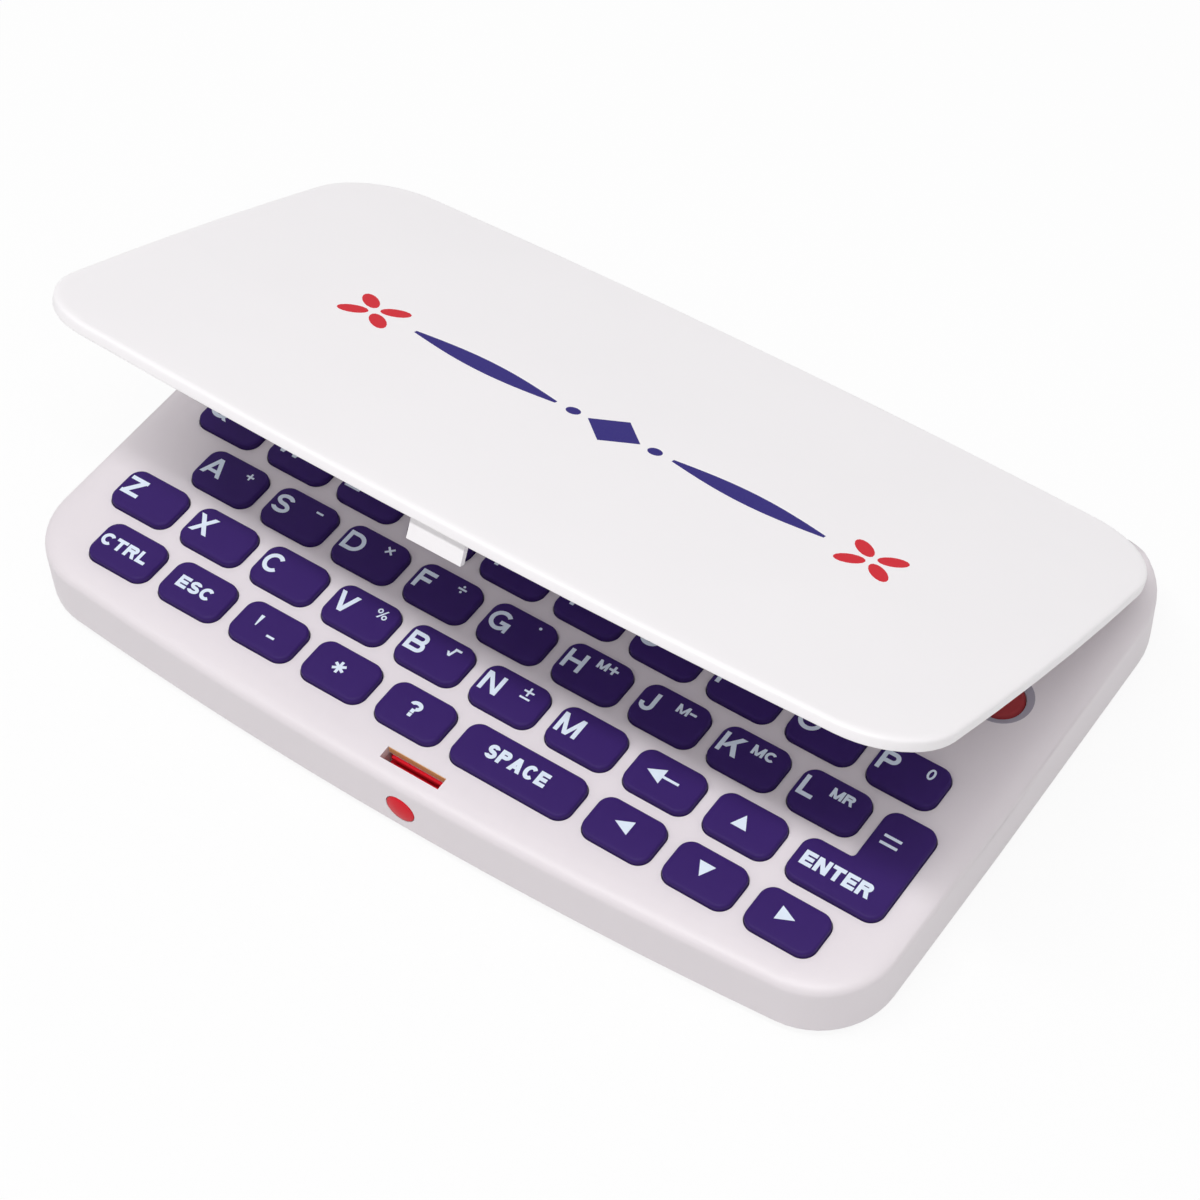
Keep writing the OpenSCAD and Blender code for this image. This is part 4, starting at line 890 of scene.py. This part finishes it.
class DICT_OT_stage(bpy.types.Operator):
    """Make the floor, the lights and the camera"""

    bl_idname = "dictionary.stage"
    bl_label = "Stage"

    def execute(self, context):
        look = context.scene.dictionary_studio
        scene = context.scene
        scene.view_settings.view_transform = "Standard"
        self.floor(scene)
        self.lights(scene, look)
        self.camera(scene, look)
        return {"FINISHED"}

    def camera(self, scene, look):
        """The photograph's view, fitted to the grid of keys and the deck's outline."""
        back = Vector((
            math.sin(look.azimuth) * math.cos(look.elevation),
            -math.cos(look.azimuth) * math.cos(look.elevation),
            math.sin(look.elevation)))
        right = Vector((math.cos(look.azimuth), math.sin(look.azimuth), 0))
        up = back.cross(right)
        turned = right * math.cos(look.roll) + up * math.sin(look.roll)
        upright = up * math.cos(look.roll) - right * math.sin(look.roll)
        data = bpy.data.cameras.new("camera")
        data.sensor_width = 36
        data.lens = 93.53
        data.clip_start = 0.01
        camera = bpy.data.objects.new("camera", data)
        scene.collection.objects.link(camera)
        axes = Matrix((turned, upright, back)).transposed().to_4x4()
        place = Vector((*look.look_at, DECK_Z)) + back * look.distance
        camera.matrix_world = Matrix.Translation(place) @ axes
        scene.camera = camera

    def floor(self, scene):
        """A pale table top that looks white and keeps a faint shadow."""
        reach = 3
        mesh = bpy.data.meshes.new("floor")
        mesh.from_pydata([(x * reach, y * reach, 0) for x, y in ((-1, -1), (1, -1), (1, 1), (-1, 1))], [],
                         [(0, 1, 2, 3)])
        floor = bpy.data.objects.new("floor", mesh)
        scene.collection.objects.link(floor)
        paper = bpy.data.materials.new("white paper sweep")
        paper.use_nodes = True
        tree = paper.node_tree
        tree.nodes.clear()
        rays = node(tree, "ShaderNodeLightPath").outputs
        matt = node(tree, "ShaderNodeBsdfDiffuse", {"Color": (0.85, 0.85, 0.85, 1)})
        white = node(tree, "ShaderNodeEmission", {"Color": (1, 1, 1, 1), "Strength": 1.0})
        # Nine tenths white to the camera and to reflections, and a tenth that takes the object's shadow
        seen = node(tree, "ShaderNodeMath", {
            0: rays["Is Camera Ray"], 1: rays["Is Glossy Ray"]}, operation="MAXIMUM")
        share = node(tree, "ShaderNodeMath", {0: seen.outputs[0], 1: 0.9}, operation="MULTIPLY")
        mixed = node(tree, "ShaderNodeMixShader", {
            0: share.outputs[0], 1: matt.outputs[0], 2: white.outputs[0]})
        node(tree, "ShaderNodeOutputMaterial", {"Surface": mixed.outputs[0]})
        mesh.materials.append(paper)

    def lights(self, scene, look):
        """A wide softbox above the front and a dim tent."""
        world = scene.world or bpy.data.worlds.new("world")
        scene.world = world
        world.use_nodes = True
        tree = world.node_tree
        tree.nodes.clear()
        rays = node(tree, "ShaderNodeLightPath").outputs
        seen = node(tree, "ShaderNodeMath", {
            0: rays["Is Camera Ray"], 1: rays["Is Transmission Ray"]}, operation="MAXIMUM")
        # The tent is brightest above and behind, with a weaker patch low in front
        all_round, patches = 0.62, (((0, 0.5, 0.87), 0.56), ((0, -0.87, 0.5), 0.4))
        direction = node(tree, "ShaderNodeTexCoord").outputs["Generated"]
        dim = look.fill * all_round
        for towards, share in patches:
            facing = node(tree, "ShaderNodeVectorMath", {
                0: direction, 1: towards}, operation="DOT_PRODUCT").outputs["Value"]
            patch = node(tree, "ShaderNodeMath", {0: facing, 1: 0.0}, operation="MAXIMUM").outputs[0]
            dim = node(tree, "ShaderNodeMath", {
                0: patch, 1: look.fill * share, 2: dim}, operation="MULTIPLY_ADD").outputs[0]
        # The camera and what is seen through glass find it plain white
        strength = node(tree, "ShaderNodeMapRange", {
            "Value": seen.outputs[0], "To Min": dim, "To Max": 1.0})
        sky = node(tree, "ShaderNodeBackground", {
            "Color": (1, 1, 1, 1), "Strength": strength.outputs["Result"]})
        node(tree, "ShaderNodeOutputWorld", {"Surface": sky.outputs[0]})
        lamp = bpy.data.lights.new("softbox", "AREA")
        lamp.shape = "RECTANGLE"
        lamp.size = 0.8
        lamp.size_y = 0.08
        lamp.energy = look.key_power
        box = bpy.data.objects.new("softbox", lamp)
        scene.collection.objects.link(box)
        place, aim = Vector((0, -0.23, 0.82)), Vector((0, -0.01, 0))
        facing = (place - aim).to_track_quat("Z", "Y").to_matrix().to_4x4()
        box.matrix_world = Matrix.Translation(place) @ facing


class DICT_PT_panel(bpy.types.Panel):
    """Lists the pieces and their sizes"""

    bl_idname = "DICT_PT_panel"
    bl_label = "Pocket dictionary"
    bl_space_type = "VIEW_3D"
    bl_region_type = "UI"
    bl_category = "Dictionary"

    def draw(self, context):
        for group in (getattr(context.scene, name) for name in GROUPS):
            column = self.layout.column()
            for name in group.bl_rna.properties.keys():
                if name not in ("rna_type", "name"):
                    column.prop(group, name)
        for operator in OPERATORS:
            self.layout.operator(operator.bl_idname)


GROUPS = {
    "dictionary_casing": DICT_PG_casing,
    "dictionary_keys": DICT_PG_keys,
    "dictionary_studio": DICT_PG_studio,
}
OPERATORS = [
    DICT_OT_stage, DICT_OT_casing, DICT_OT_lid, DICT_OT_keys, DICT_OT_buttons, DICT_OT_display,
    DICT_OT_inside,
]


def register():
    for made in (*GROUPS.values(), *OPERATORS, DICT_PT_panel):
        bpy.utils.register_class(made)
    for name, group in GROUPS.items():
        setattr(bpy.types.Scene, name, bpy.props.PointerProperty(type=group))


def unregister():
    for name in GROUPS:
        delattr(bpy.types.Scene, name)
    for made in (DICT_PT_panel, *reversed(OPERATORS), *reversed(GROUPS.values())):
        bpy.utils.unregister_class(made)


def main():
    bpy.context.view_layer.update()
    register()
    for operator in OPERATORS:
        group, name = operator.bl_idname.split(".")
        getattr(getattr(bpy.ops, group), name)()


if __name__ == "__main__":
    main()
